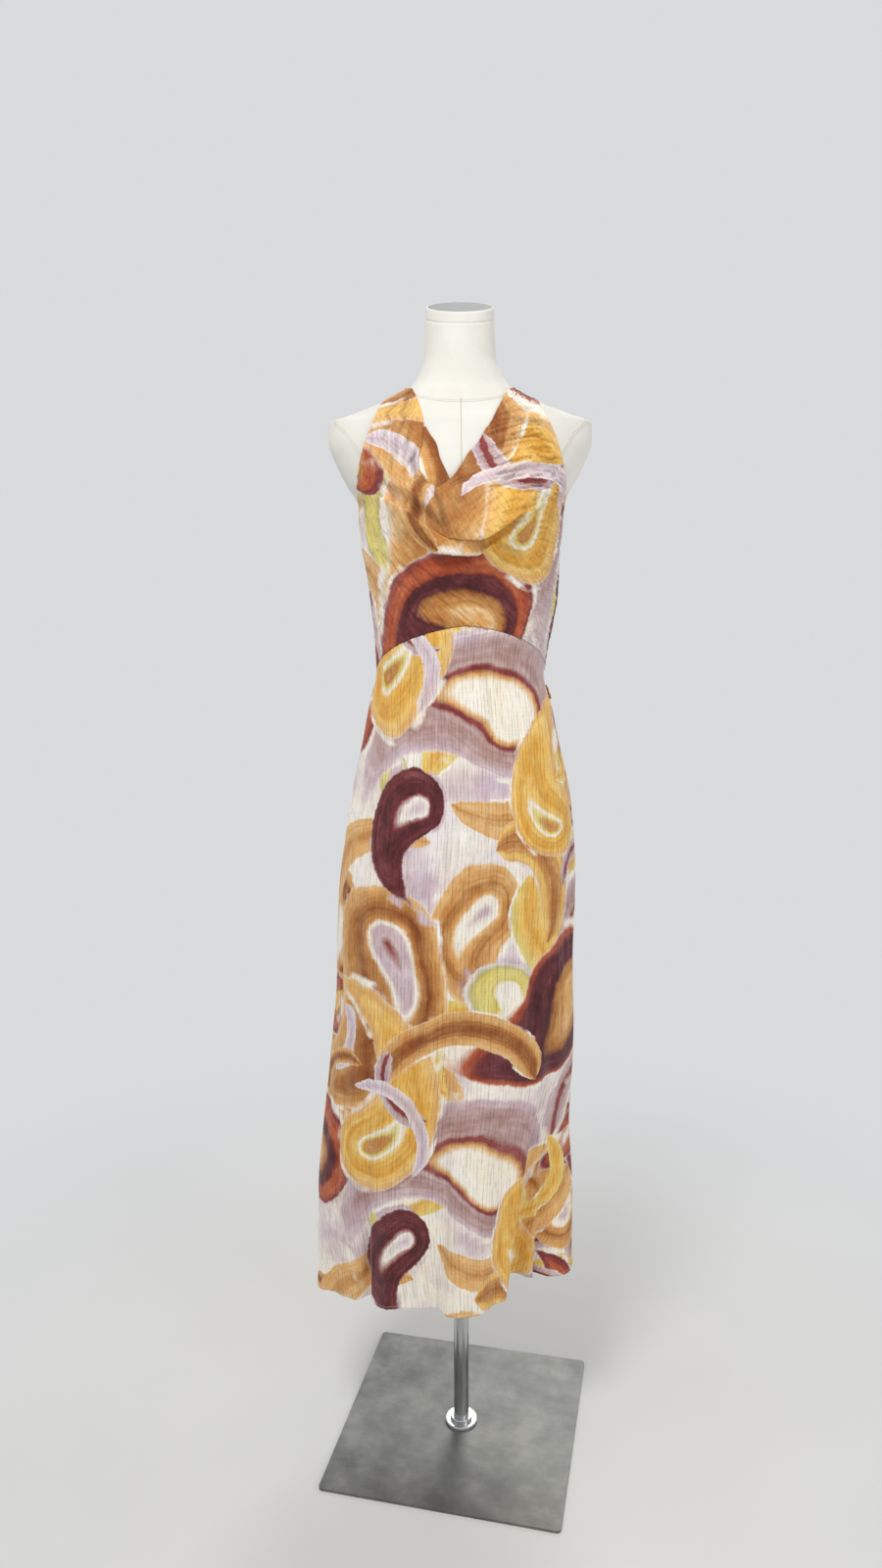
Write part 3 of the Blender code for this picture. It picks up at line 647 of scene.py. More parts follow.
# Bands of dye from the middle of a teardrop or arc out, each up to a level, with its dyes from its
# start to its end. The last band is the bare or washed cloth that the brush left round the motif.
BANDS = {
    "mauve_ring": [(0.38, OFF_WHITE), (0.45, TAN), (0.60, BRICK, BRICK, MAUVE), (1.00, MAUVE, MAUVE, LILAC),
                   (1.12, OFF_WHITE)],
    "caramel_ring": [(0.12, BRICK, MAUVE), (0.30, LILAC), (0.37, OFF_WHITE), (0.62, OCHRE, CARAMEL, UMBER),
                     (1.00, CARAMEL, OCHRE, TAN), (1.10, OFF_WHITE)],
    "gold_comma": [(0.15, OCHRE), (0.22, CITRON), (0.30, OFF_WHITE), (0.72, GOLD, AMBER, AMBER),
                   (1.00, GOLD, TAN), (1.12, OFF_WHITE)],
    "citron_comma": [(0.40, OFF_WHITE), (0.72, CITRON, CITRON), (1.00, CITRON, SAGE, PALE_LILAC),
                     (1.18, LILAC)],
    "burgundy_ring": [(0.30, TAN), (0.52, OCHRE, CARAMEL), (0.84, BURGUNDY), (1.00, PLUM, RUST),
                      (1.10, OFF_WHITE)],
    "rust_ring": [(0.22, TAN), (0.42, OCHRE, CARAMEL), (0.66, BURGUNDY, PLUM), (1.00, RUST, RUST, BRICK),
                  (1.10, OFF_WHITE)],
    "plum_comma": [(0.30, LILAC, OFF_WHITE), (0.44, MAUVE, BRICK), (1.00, BURGUNDY, PLUM), (1.16, LILAC)],
    "rust_comma": [(0.26, TAN, GOLD), (0.48, CARAMEL), (0.80, RUST), (1.00, BRICK), (1.10, OFF_WHITE)],
    "ochre_comma": [(0.22, LILAC, OFF_WHITE), (0.34, OFF_WHITE), (0.66, TAN, OCHRE, CARAMEL),
                    (1.00, OCHRE, TAN), (1.12, OFF_WHITE)],
    "tan_stroke": [(0.50, OCHRE, TAN), (1.00, TAN, TAN), (1.16, OFF_WHITE)],
    "ochre_stroke": [(0.40, CARAMEL, OCHRE), (1.00, OCHRE, GOLD, TAN), (1.16, PALE_LILAC)],
    "gold_stroke": [(0.45, AMBER, GOLD), (1.00, GOLD, CITRON), (1.16, OFF_WHITE)],
    "citron_stroke": [(0.95, CITRON, CITRON, SAGE), (1.20, PALE_LILAC)],
    "caramel_stroke": [(0.45, UMBER, CARAMEL), (1.00, OCHRE, TAN), (1.14, OFF_WHITE)],
    "mauve_stroke": [(0.26, BRICK), (1.00, MAUVE, LILAC), (1.16, PALE_LILAC)],
    "lilac_stroke": [(1.00, LILAC, PALE_LILAC), (1.16, PALE_LILAC)],
}
BAND_BLUR = 0.032  # half the width of a soft edge between two bands
LEVEL_SHOWN = 1.30  # the colour ramp runs from 0 to this level
RIM = (0.98, 1.03)  # between these levels a motif's dye ends


def band_stops(bands):
    """Stops of a colour ramp over a motif's level; its alpha falls to 0 where the last band ends."""
    stops, start = [], 0.0
    for end, *dyes in bands:
        first, last = max(0.0, start + BAND_BLUR), end - BAND_BLUR
        dyes = dyes if len(dyes) > 1 else dyes * 2
        for k, dye in enumerate(dyes):
            stops.append(((first + (last - first) * k / (len(dyes) - 1)) / LEVEL_SHOWN, dye))
        start = end
    return [*stops, ((start + BAND_BLUR) / LEVEL_SHOWN, (*stops[-1][1][:3], 0.0))]


# Teardrops: the head's centre and half width, the tail's way, length and curl. Arcs: the centre of
# their round, the way to their middle, half width, radius and how much the radius grows round it.
# The centre is measured from the front's middle and from the floor; a later motif lies over an earlier.
Motif = namedtuple("Motif", "shape bands across up turn width length curl")
MOTIFS = [Motif(*row) for row in [
    (teardrop, "ochre_comma", 0.04, 0.93, 215, 0.062, 0.22, 7),
    (brushed_arc, "gold_stroke", 0.31, 0.22, 90, 0.030, 0.090, 0.015),
    (brushed_arc, "tan_stroke", -0.30, 0.70, 80, 0.026, 0.070, 0.015),
    (teardrop, "rust_comma", 0.29, 0.24, 70, 0.032, 0.12, 8),
    (teardrop, "mauve_ring", 0.31, 0.89, 150, 0.064, 0.22, 6),
    (brushed_arc, "mauve_stroke", 0.27, 0.30, 100, 0.020, 0.070, 0.015),
    (teardrop, "ochre_comma", -0.20, 0.67, 80, 0.070, 0.22, -7),
    (teardrop, "ochre_comma", 0.26, 0.41, 100, 0.070, 0.22, 5),
    (brushed_arc, "lilac_stroke", 0.04, 0.70, 190, 0.026, 0.200, 0.010),
    (brushed_arc, "citron_stroke", -0.21, 0.66, 150, 0.030, 0.100, 0.025),
    (brushed_arc, "tan_stroke", 0.07, 0.52, -52, 0.029, 0.176, 0.014),
    (brushed_arc, "caramel_stroke", -0.30, 0.86, 10, 0.032, 0.110, 0.020),
    (brushed_arc, "gold_stroke", 0.03, 0.37, 75, 0.030, 0.125, -0.015),
    (brushed_arc, "citron_stroke", -0.19, 0.38, 50, 0.030, 0.095, 0.015),
    (brushed_arc, "gold_stroke", 0.20, 0.95, 235, 0.032, 0.105, 0.020),
    (brushed_arc, "tan_stroke", -0.09, 0.88, 150, 0.026, 0.175, 0.012),
    (brushed_arc, "gold_stroke", 0.03, 0.72, 175, 0.026, 0.070, 0.015),
    (brushed_arc, "mauve_stroke", 0.31, 0.60, 170, 0.028, 0.095, 0.020),
    (brushed_arc, "tan_stroke", 0.21, 0.62, 20, 0.028, 0.085, 0.020),
    (brushed_arc, "ochre_stroke", 0.06, 0.95, 30, 0.030, 0.090, -0.018),
    (teardrop, "rust_comma", 0.30, 0.56, 250, 0.050, 0.18, 7),
    (teardrop, "rust_comma", -0.24, 0.76, 60, 0.038, 0.15, -8),
    (teardrop, "mauve_ring", 0.080, 0.50, 125, 0.098, 0.28, 5),
    (teardrop, "caramel_ring", -0.11, 0.87, -50, 0.094, 0.36, -4),
    (teardrop, "citron_comma", 0.08, 0.80, -75, 0.058, 0.25, 6),
    (teardrop, "burgundy_ring", 0.22, 0.79, -95, 0.084, 0.24, -4),
    (teardrop, "rust_ring", -0.25, 0.50, 110, 0.078, 0.22, 6),
    (teardrop, "gold_comma", -0.13, 0.56, 20, 0.066, 0.27, 6),
    (teardrop, "plum_comma", -0.07, 0.39, 195, 0.044, 0.16, 8),
    (teardrop, "gold_comma", 0.16, 0.33, 165, 0.052, 0.22, -7),
    (brushed_arc, "caramel_stroke", 0.03, 0.61, 95, 0.028, 0.130, 0.020),
    (brushed_arc, "lilac_stroke", -0.235, 0.715, -10, 0.013, 0.055, 0.006),
    (brushed_arc, "mauve_stroke", -0.055, 0.675, 215, 0.014, 0.060, 0.006),
    (brushed_arc, "lilac_stroke", -0.130, 0.560, 40, 0.011, 0.090, 0.004),
    (brushed_arc, "caramel_stroke", -0.185, 0.625, 130, 0.012, 0.060, -0.006),
    (brushed_arc, "gold_stroke", 0.150, 0.480, -15, 0.014, 0.080, 0.008),
    (brushed_arc, "mauve_stroke", 0.255, 0.930, 100, 0.013, 0.070, 0.005),
]]

# The print and the cloth's own tone, from a point's place on the flat cloth, the painted shade of its
# crinkles, tucks and pulled lines, and how straight the cloth hangs.
WOBBLE_COARSE = 0.026  # how far an outline strays in its sweep
WOBBLE_FINE = 0.0035  # and in its frayed edge
BLEED = 0.10  # how far the dye creeps between bands
STROKE_LINES = 13.0  # brush lines that run along a band, for each level across it
gauze_print, bench, given, result = new_group(
    "gauze_print",
    [("Cloth", "Vector"), ("Crease_Shade", "Float"), ("Straight", "Float")],
    [("Color", "Color"), ("Height", "Float")],
)
cloth = given["Cloth"]
brushed = cloth
for reach, look in ((WOBBLE_COARSE, (5.5, 1.0)), (WOBBLE_FINE, (110.0, 3.0, 0.6))):
    stray = bench.vector("SUBTRACT", bench.noise(cloth, *look, out=1), (0.5, 0.5, 0.5))
    brushed = bench.vector("ADD", brushed, bench.vector("MULTIPLY", stray, (reach * 2,) * 3))

bleed = bench.sum("MULTIPLY_ADD", bench.noise(cloth, 13.0), BLEED * 2, -BLEED)
wash = bench.noise(cloth, 7.0, 3.0, 0.55)
colour = bench.ramp(wash, [(0.45, OFF_WHITE), (0.55, PALE_LILAC), (0.67, LILAC)])
# in places the brush left no bare cloth round a motif
closed_up = share_between(bench, bench.noise(cloth, 16.0), 0.41, 0.51)
shown_level = 0.5
for motif in MOTIFS:
    feeds = {
        "Cloth": brushed, "Centre": (motif.across, motif.up, 0.0), "Turn": math.radians(motif.turn),
        "Width": motif.width, "Length": motif.length, "Curl": motif.curl,
    }
    level = bench.sum("ADD", bench.add("Group", feeds, node_tree=motif.shape), bleed)
    dyed = bench.ramp(bench.sum("DIVIDE", level, LEVEL_SHOWN), band_stops(BANDS[motif.bands]))
    rim = share_between(bench, level, *RIM)
    bare = bench.sum("SUBTRACT", 1.0, bench.sum("MULTIPLY", rim, closed_up))
    cover = bench.sum("MULTIPLY", dyed.node.outputs[1], bare)
    colour = bench.mix(cover, colour, dyed)
    shown_level = bench.sum("MULTIPLY_ADD", cover, bench.sum("SUBTRACT", level, shown_level), shown_level)

# Dye lies unevenly: richer and thinner along the brush's way and in clouds.
along = bench.parts(cloth)
brush = bench.add("CombineXYZ", {
    "X": bench.sum("MULTIPLY", shown_level, STROKE_LINES),
    "Y": bench.sum("MULTIPLY", along["X"], 9.0),
    "Z": bench.sum("MULTIPLY", along["Y"], 9.0),
})
strokes = bench.noise(brush, 1.0, 2.0, 0.55)
cloud = bench.noise(cloth, 34.0, 5.0, 0.65)
richness = bench.sum("SUBTRACT", bench.weighed((strokes, 1.1), (cloud, 1.3)), 0.12)
colour = bench.add("Gamma", {"Color": colour, "Gamma": richness})
warm = bench.two_tones(bench.noise(cloth, 11.0, 4.0, 0.6), 0.40, (255, 255, 255), 0.62, (255, 249, 234))
colour = bench.mix(0.7, colour, warm, "MULTIPLY")

# Thin dark lines run up the cloth a few millimetres apart, in dashes.
LINE_EVERY = 0.0056
LINE_DRIFT = 1.8  # how far they wander, as a share of that
LINE_DARK = 0.34
drift = bench.sum("MULTIPLY", bench.noise(cloth, (30.0, 4.0, 1.0)), LINE_DRIFT)
row = bench.sum("FRACT", bench.sum("MULTIPLY_ADD", along["X"], 1 / LINE_EVERY, drift))
line = share_between(bench, bench.sum("ABSOLUTE", bench.sum("SUBTRACT", row, 0.5)), 0.37, 0.45)
dashes = share_between(bench, bench.noise(cloth, (150.0, 34.0, 1.0), 2.0, 0.6), 0.40, 0.56)
dashes = bench.sum("MULTIPLY", bench.sum("MULTIPLY", line, dashes), given["Straight"])

# The open weave shows as fine threads both ways. The crinkle's depths, the tucks and the pulled lines get
# painted shade.
CRINKLE_SHADE = 0.11
upright = bench.noise(cloth, (430.0, 45.0, 1.0), 2.0, 0.6)
crosswise = bench.noise(cloth, (45.0, 430.0, 1.0), 2.0, 0.6)
specks = bench.noise(cloth, (700.0, 620.0, 1.0), 2.0, 0.7)
tone = bench.sum("ADD", bench.weighed((upright, 0.22), (crosswise, 0.22), (specks, 0.34)), 0.68)
tone = bench.sum("SUBTRACT", tone, bench.sum("MULTIPLY", given["Crease_Shade"], CRINKLE_SHADE))
tone = bench.sum("MULTIPLY", tone, bench.sum("MULTIPLY_ADD", dashes, -LINE_DARK, 1.0))
shade = bench.add("CombineXYZ", {"X": tone, "Y": tone, "Z": tone})
bench.feed(result["Color"], bench.mix(1.0, colour, shade, "MULTIPLY"))
warp = bench.noise(cloth, (1600.0, 220.0, 1.0))
weft = bench.noise(cloth, (220.0, 1300.0, 1.0))
pleats = bench.noise(cloth, (260.0, 22.0, 1.0), 3.0, 0.6)
relief = bench.weighed((warp, 0.25), (weft, 0.20), (pleats, 0.6))
bench.feed(result["Height"], bench.sum("SUBTRACT", relief, dashes))

gauze_material, bench, shader = new_material("printed_gauze", 0.86, Sheen_Weight=0.25, Sheen_Roughness=0.45)
measures = {
    "Cloth": bench.add("Attribute", attribute_name="cloth", out=1),
    # painted shade of the crinkles, tucks and pulled lines, as each piece carries it
    "Crease_Shade": bench.add("Attribute", attribute_name="crease_shade", out=2),
    "Straight": bench.add("Attribute", attribute_name="straight", out=2),
}
dyed = bench.add("Group", measures, node_tree=gauze_print).node.outputs
bench.feed(shader.inputs["Base Color"], dyed["Color"])
bench.bump(shader, dyed["Height"], 0.5, 0.0008)


# ======== Skirt front ========
# The front skirt is one flared panel, sewn to the bodice along an arched seam and to the back at
# the sides. It hangs free from the hips down, with soft uneven folds and fine crinkle lines.
DRESS_SECTIONS = [Section(*row) for row in [
    (0.270, -0.025, 0.209, 0.106, 0.146),
    (0.345, -0.026, 0.207, 0.108, 0.147),
    (0.450, -0.026, 0.203, 0.110, 0.147),
    (0.520, -0.025, 0.198, 0.112, 0.147),
    (0.586, -0.021, 0.195, 0.114, 0.147),
    (0.652, -0.015, 0.193, 0.116, 0.147),
    (0.718, -0.011, 0.190, 0.118, 0.146),
    (0.783, -0.009, 0.186, 0.119, 0.145),
    (0.848, -0.008, 0.184, 0.119, 0.143),
    (0.911, -0.006, 0.182, 0.119, 0.141),
    (0.974, -0.003, 0.179, 0.118, 0.139),
    (1.036, 0.000, 0.173, 0.116, 0.134),
    (1.098, 0.002, 0.163, 0.112, 0.124),
    (1.158, 0.002, 0.149, 0.107, 0.110),
    (1.218, 0.001, 0.137, 0.101, 0.096),
    (1.265, 0.000, 0.126, 0.096, 0.086),
    (1.307, 0.002, 0.129, 0.099, 0.087),
    (1.336, 0.004, 0.133, 0.102, 0.090),
    (1.380, 0.005, 0.139, 0.109, 0.094),
    (1.423, 0.003, 0.143, 0.119, 0.098),
    (1.451, 0.001, 0.146, 0.124, 0.100),
    (1.479, 0.001, 0.149, 0.126, 0.103),
    (1.508, 0.001, 0.151, 0.123, 0.106),
    (1.540, 0.000, 0.170, 0.114, 0.109),
]]
DRESS_TOP = (1.505, 1.535)  # between these heights the dress goes over to the form's own sections
GAP = 0.0003  # between neighbouring pieces
SEAM_HALF_GAP = math.radians(0.15)
HEM = 0.288
HEM_RISE_LEFT = 0.009
SEAM_PEAK = 1.339  # top of the arched waist seam
SEAM_DROP = 0.058
SEAM_CENTRE = math.radians(1.5)
SEAM_SPREAD = math.radians(80)
SEAM_POWER = 1.5
BACK_WAIST = 1.249
CLOTH = 0.0006  # the gauze
WELD = 0.00002  # points of one piece this near are one point
MEAN_RADIUS = 0.145  # turns angles into widths of cloth where only their likeness matters

dress_curves = table_curves(DRESS_SECTIONS)


def dress_section(height):
    """Sections under the cloth: the dress's own up to the chest, then the form's."""
    own = [curve(height) for curve in dress_curves]
    up = smooth_step(height, *DRESS_TOP)
    return [a + (b - a) * up for a, b in zip(own, form_section(height))]


# Folds at the hem: place and width of the two flanks in degrees, lean as they climb, how far out
# or in, and the height at which they end.
Fold = namedtuple("Fold", "angle right_width left_width lean out top")
SKIRT_FOLDS = [Fold(*row) for row in [
    (-72, 16, 16, 0, 0.009, 0.66),
    (-37.5, 6, 3.5, 1, -0.021, 0.62),
    (-27, 8, 12, 0, 0.010, 0.66),
    (0.5, 4, 12, 6, 0.022, 0.66),
    (12, 13, 12, 8, 0.026, 0.74),
    (34.5, 9.5, 40, 22, -0.062, 0.72),
    (47, 6, 6, 8, 0.012, 0.60),
    (53.5, 5, 6, 6, -0.013, 0.56),
    (112, 14, 14, -4, 0.010, 0.80),
    (134, 12, 12, -3, -0.014, 0.74),
    (158, 15, 15, -2, 0.013, 0.86),
    (184, 12, 12, 0, -0.015, 0.78),
    (207, 14, 14, 2, 0.012, 0.84),
    (232, 12, 12, 3, -0.013, 0.72),
    (252, 12, 12, 4, 0.009, 0.76),
]]
GATHERS = (17, 29)  # two mixed rows of small folds under the elastic, as folds round the whole waist
GATHER_DEPTH = 0.0034
GATHER_LENGTH = 0.34


def skirt_out(angle, height):
    """How far the skirt's folds and back gathers stand out or in."""
    degrees = np.degrees(angle)
    out = np.zeros_like(degrees)
    for fold in SKIRT_FOLDS:
        climb = np.clip((height - HEM) / (fold.top - HEM), None, 1.0)
        off = (degrees - fold.angle - fold.lean * climb + 180) % 360 - 180
        width = np.where(off < 0, fold.right_width, fold.left_width)
        out += fold.out * bump(off / width) * np.minimum(1.0, 1 - climb) ** 1.2
    into_back = smooth_step(-np.cos(angle), 0.0, 0.35)
    down = np.maximum(0.0, BACK_WAIST - height)
    hang = bump(down / GATHER_LENGTH) * smooth_step(down, 0.0, 0.05)
    wave = np.cos(GATHERS[0] * angle + 3 * down)
    wave = wave + 0.7 * np.cos(GATHERS[1] * angle + 1.3 + 2 * np.sin(4 * angle))
    out += GATHER_DEPTH * into_back * hang * wave
    return out * (height < BACK_WAIST)


# Creases: a path over the cloth in degrees and heights, the width and depth of its trough (a ridge
# where the depth is below zero). They fade out at both ends.
Crease = namedtuple("Crease", "width depth path")


def crease_out(creases, angle, height):
    """How far the creases press the cloth in, as a distance out that is mostly below zero."""
    across, out = angle * MEAN_RADIUS, np.zeros_like(angle)
    for crease in creases:
        path = np.array([(math.radians(turn) * MEAN_RADIUS, up) for turn, up in crease.path])
        lengths = np.linalg.norm(np.diff(path, axis=0), axis=1)
        starts = np.concatenate([[0.0], np.cumsum(lengths)])
        low, high = path.min(axis=0) - crease.width, path.max(axis=0) + crease.width
        near = (across > low[0]) & (across < high[0]) & (height > low[1]) & (height < high[1])
        if not near.any():
            continue
        spots = np.stack([across[near], height[near]], axis=-1)
        best, share = np.full(len(spots), 9.0), np.zeros(len(spots))
        for (a, b), length, start in zip(zip(path, path[1:]), lengths, starts):
            t = np.clip((spots - a) @ (b - a) / length**2, 0, 1)
            away = np.linalg.norm(spots - a - t[:, None] * (b - a), axis=1)
            share = np.where(away < best, (start + t * length) / starts[-1], share)
            best = np.minimum(best, away)
        out[near] -= crease.depth * bump(best / crease.width) * np.sin(math.pi * share) ** 0.6
    return out


PULLED_WIDTH = 0.0065  # creases narrower than this are pulled lines, with painted shade in their depth
PULLED_DEPTH = 0.0013


def pulled_line_shade(creases, angle, height):
    """The painted shade of the narrow creases, 1 at a depth of PULLED_DEPTH."""
    narrow = [crease for crease in creases if crease.width < PULLED_WIDTH and crease.depth > 0]
    return -crease_out(narrow, angle, height) / PULLED_DEPTH


def soften(sheet, spread_rows, spread_columns):
    """A sheet of values blurred by whole cells, its edges joined round."""
    for axis, reach in ((0, spread_rows), (1, spread_columns)):
        total = np.zeros_like(sheet)
        for step in range(-int(3 * reach), int(3 * reach) + 1):
            total += np.roll(sheet, step, axis=axis) * math.exp(-0.5 * (step / reach) ** 2)
        sheet = total
    return (sheet - sheet.mean()) / sheet.std()


def read_sheet(sheet, cell, across, up):
    """Values of a sheet of square cells at places measured in metres, joined round at its edges."""
    row, column = up / cell, across / cell
    r, c = np.floor(row).astype(int), np.floor(column).astype(int)
    fr, fc = row - r, column - c
    rows, columns = sheet.shape
    value = 0
    for dr, wr in ((0, 1 - fr), (1, fr)):
        for dc, wc in ((0, 1 - fc), (1, fc)):
            value = value + sheet[(r + dr) % rows, (c + dc) % columns] * wr * wc
    return value


def crinkle_lines(sheet, thinness):
    """Thin valleys, from 0 to 1, where a combed sheet passes through nothing."""
    return np.exp(-((sheet / thinness) ** 2))


def cloth_mesh(name, blocks, laid, crease_shade, wall=CLOTH, straight=1.0):
    """A wall of gauze on blocks of rows of points that share their edges. It carries measures for its
    material: each point's place on the flat cloth, the painted shade of its crinkles and creases, and how
    straight it hangs."""
    quads, first = [], 0
    for block in blocks:
        rows, columns = block.shape[:2]
        quads.append(grid_faces(rows, columns, first))
        first += rows * columns
    quads = np.concatenate(quads)
    points = np.concatenate([block.reshape(-1, 3) for block in blocks])
    mesh = bpy.data.meshes.new(name)
    mesh.vertices.add(len(points))
    mesh.vertices.foreach_set("co", points.ravel())
    mesh.loops.add(quads.size)
    mesh.loops.foreach_set("vertex_index", quads.ravel())
    mesh.polygons.add(len(quads))
    mesh.polygons.foreach_set("loop_start", np.arange(0, quads.size, 4))
    mesh.update(calc_edges=True)
    place = np.zeros_like(points)
    place[:, :2] = np.concatenate([block.reshape(-1, 2) for block in laid])
    mesh.attributes.new("cloth", "FLOAT_VECTOR", "POINT").data.foreach_set("vector", place.ravel())
    depth = np.concatenate([block.ravel() for block in crease_shade])
    for measure, values in (("crease_shade", depth), ("straight", np.full(len(points), straight))):
        mesh.attributes.new(measure, "FLOAT", "POINT").data.foreach_set("value", values)
    if len(blocks) > 1:
        shape = bmesh.new()
        shape.from_mesh(mesh)
        bmesh.ops.remove_doubles(shape, verts=shape.verts, dist=WELD)
        shape.to_mesh(mesh)
        shape.free()
    mesh.shade_smooth()
    mesh.materials.append(gauze_material)
    piece = bpy.data.objects.new(name, mesh)
    bpy.context.scene.collection.objects.link(piece)
    solid = piece.modifiers.new("wall", "SOLIDIFY")
    solid.thickness = wall
    solid.offset = -1
    solid.use_even_offset = False
    return piece


def hem_height(angle):
    return HEM + HEM_RISE_LEFT * np.sin(angle)


def seam_height(angle):
    away = np.abs(angle - SEAM_CENTRE) / SEAM_SPREAD
    return SEAM_PEAK - SEAM_DROP * away**SEAM_POWER


def widths_across(points):
    """The length of cloth from the middle column to each point along its row."""
    steps = np.linalg.norm(np.diff(points, axis=1), axis=2)
    along = np.concatenate([np.zeros((len(points), 1)), np.cumsum(steps, axis=1)], axis=1)
    return along - along[:, along.shape[1] // 2, None]


def sewn_row(row, points, angle, height, out):
    """One row of the cloth's points, and its outward directions there, for stitches."""
    away = points[row] - off_sections(dress_section, angle, height, out - JUST_UNDER)[row]
    return points[row], away / np.linalg.norm(away, axis=-1, keepdims=True)


SKIRT_COLUMNS = 376
SKIRT_ROWS = 126
HEM_ROWS = (0.0, 0.0012, 0.0046, 0.0056, 0.0066, 0.0100)  # close rows for the narrow hem and its stitching
HEM_STITCHES = 2  # the row of points that carries the hem's stitching
HEM_FOLD = 0.0005
CRINKLE_CELL = 0.0014
CRINKLE_CELL_UP = 0.004
CRINKLE_DEPTH = 0.0009
CRINKLE_THIN = 0.42
CRINKLE_SHEET = (1.4, 1.6)  # height and width of the sheet that the crinkle is read from
SWELL_DEPTH = 0.0013
JUST_UNDER = 0.001
SKIRT_FRONT_CREASES = [Crease(*row) for row in [
    (0.010, 0.0030, [(-60, 0.30), (-58, 0.42), (-57, 0.56)]),
    (0.008, 0.0025, [(-52, 0.34), (-52, 0.50), (-50, 0.60)]),
    (0.007, 0.0030, [(-66, 0.78), (-66, 0.90), (-64, 1.02)]),
    (0.006, 0.0022, [(-72, 0.70), (-71, 0.84), (-71, 0.96)]),
    (0.006, 0.0016, [(-14, 1.06), (-13, 1.18), (-12, 1.30)]),
    (0.006, 0.0014, [(16, 1.14), (17, 1.24), (18, 1.325)]),
    (0.007, 0.0014, [(4, 0.60), (5, 0.80), (4, 1.0)]),
]]


def skirt_sheet(first, last, top_of, creases):
    """Points, places on the flat cloth, painted shade in its crinkles and creases, and hem line of one skirt
    panel.
    """
    angles = np.linspace(first + SEAM_HALF_GAP, last - SEAM_HALF_GAP, SKIRT_COLUMNS + 1)
    climbs = np.linspace(0, 1, SKIRT_ROWS + 2 - len(HEM_ROWS))[1:, None]
    angle = np.broadcast_to(angles, (SKIRT_ROWS + 1, SKIRT_COLUMNS + 1))
    low = hem_height(angles) + HEM_ROWS[-1]
    hem_rows = low + np.array(HEM_ROWS)[:, None] - HEM_ROWS[-1]
    height = np.concatenate([hem_rows, low + (top_of(angles) - low) * climbs])
    across = angle * MEAN_RADIUS * 1.25 + 1.0 + 0.004 * np.sin(9 * height + 5 * angle)
    noise, swell = [
        read_sheet(sheet, CRINKLE_CELL, across, height * CRINKLE_CELL / CRINKLE_CELL_UP)
        for sheet in (skirt_combed, swells)
    ]
    valleys = crinkle_lines(noise, CRINKLE_THIN)
    edges = smooth_step(np.minimum(angle - first, last - angle), 0.0, 0.03)
    edges = edges * smooth_step(top_of(angles) - height, 0.0, 0.012)
    out = skirt_out(angle, height) + crease_out(creases, angle, height) * edges + SWELL_DEPTH * swell * edges
    out = out - CRINKLE_DEPTH * (valleys - 0.3 - 0.35 * noise) * edges
    out = out + HEM_FOLD * (height - hem_height(angles) < 0.5 * (HEM_ROWS[2] + HEM_ROWS[3]))
    points = off_sections(dress_section, angle, height, out)
    laid = np.stack([widths_across(points), height], axis=-1)
    hem_line = sewn_row(HEM_STITCHES, points, angle, height, out)
    return points, laid, valleys + pulled_line_shade(creases, angle, height), hem_line


shape = (int(CRINKLE_SHEET[0] / CRINKLE_CELL_UP), int(CRINKLE_SHEET[1] / CRINKLE_CELL))
skirt_combed = soften(np.random.default_rng(11).standard_normal(shape), 13, 1.5)
swells = soften(np.random.default_rng(12).standard_normal(shape), 16, 7)
points, laid, valleys, front_hem = skirt_sheet(
    -math.pi / 2, math.pi / 2, lambda angle: seam_height(angle) - GAP, SKIRT_FRONT_CREASES
)
skirt_front = cloth_mesh("front_skirt", [points], [laid], [valleys])
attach(skirt_front, "root")
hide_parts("skirt_front")


# ======== Skirt back and its elastic casing ========
# The back skirt is gathered at the waist by a flat elastic in a casing of the same gauze; below
# it the cloth falls in uneven folds to the hem.
BACK_DIP = 0.012
BACK_PRINT = (0.31, 0.22)  # where the back was cut from the printed cloth, against the front
CASING_HEIGHT = 0.022
CASING_WALL = 0.0018
CASING_COLUMNS = 400
CASING_ROWS = 14
CASING_PUFF = 0.0012
CASING_CHANNEL = 0.0006  # the line of stitching along the elastic's middle
CASING_FULLNESS = 1.5  # cloth gathered into each length of casing
CASING_STITCHES = (2, 12)
SKIRT_BACK_CREASES = [Crease(*row) for row in [
    (0.010, 0.0030, [(122, 0.32), (121, 0.50), (122, 0.70)]),
    (0.009, 0.0030, [(170, 0.30), (171, 0.50), (172, 0.74)]),
    (0.010, 0.0028, [(220, 0.34), (219, 0.52), (217, 0.68)]),
    (0.008, 0.0024, [(146, 0.60), (147, 0.80), (149, 1.00)]),
    (0.008, 0.0024, [(196, 0.66), (195, 0.86), (194, 1.06)]),
    (0.007, 0.0020, [(240, 0.70), (238, 0.90), (236, 1.04)]),
]]


def casing_top(angle):
    return BACK_WAIST - BACK_DIP * smooth_step(-np.cos(angle), 0.0, 1.0)


points, laid, valleys, back_hem = skirt_sheet(math.pi / 2, 1.5 * math.pi, casing_top, SKIRT_BACK_CREASES)
skirt_back = cloth_mesh("back_skirt", [points], [laid + BACK_PRINT], [valleys])
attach(skirt_back, "root")
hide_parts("skirt_back")
sewing_thread = new_thread("sewing_thread", (214, 200, 182), (238, 228, 212))
stitches("skirt_hem_stitches", [front_hem, back_hem], sewing_thread)

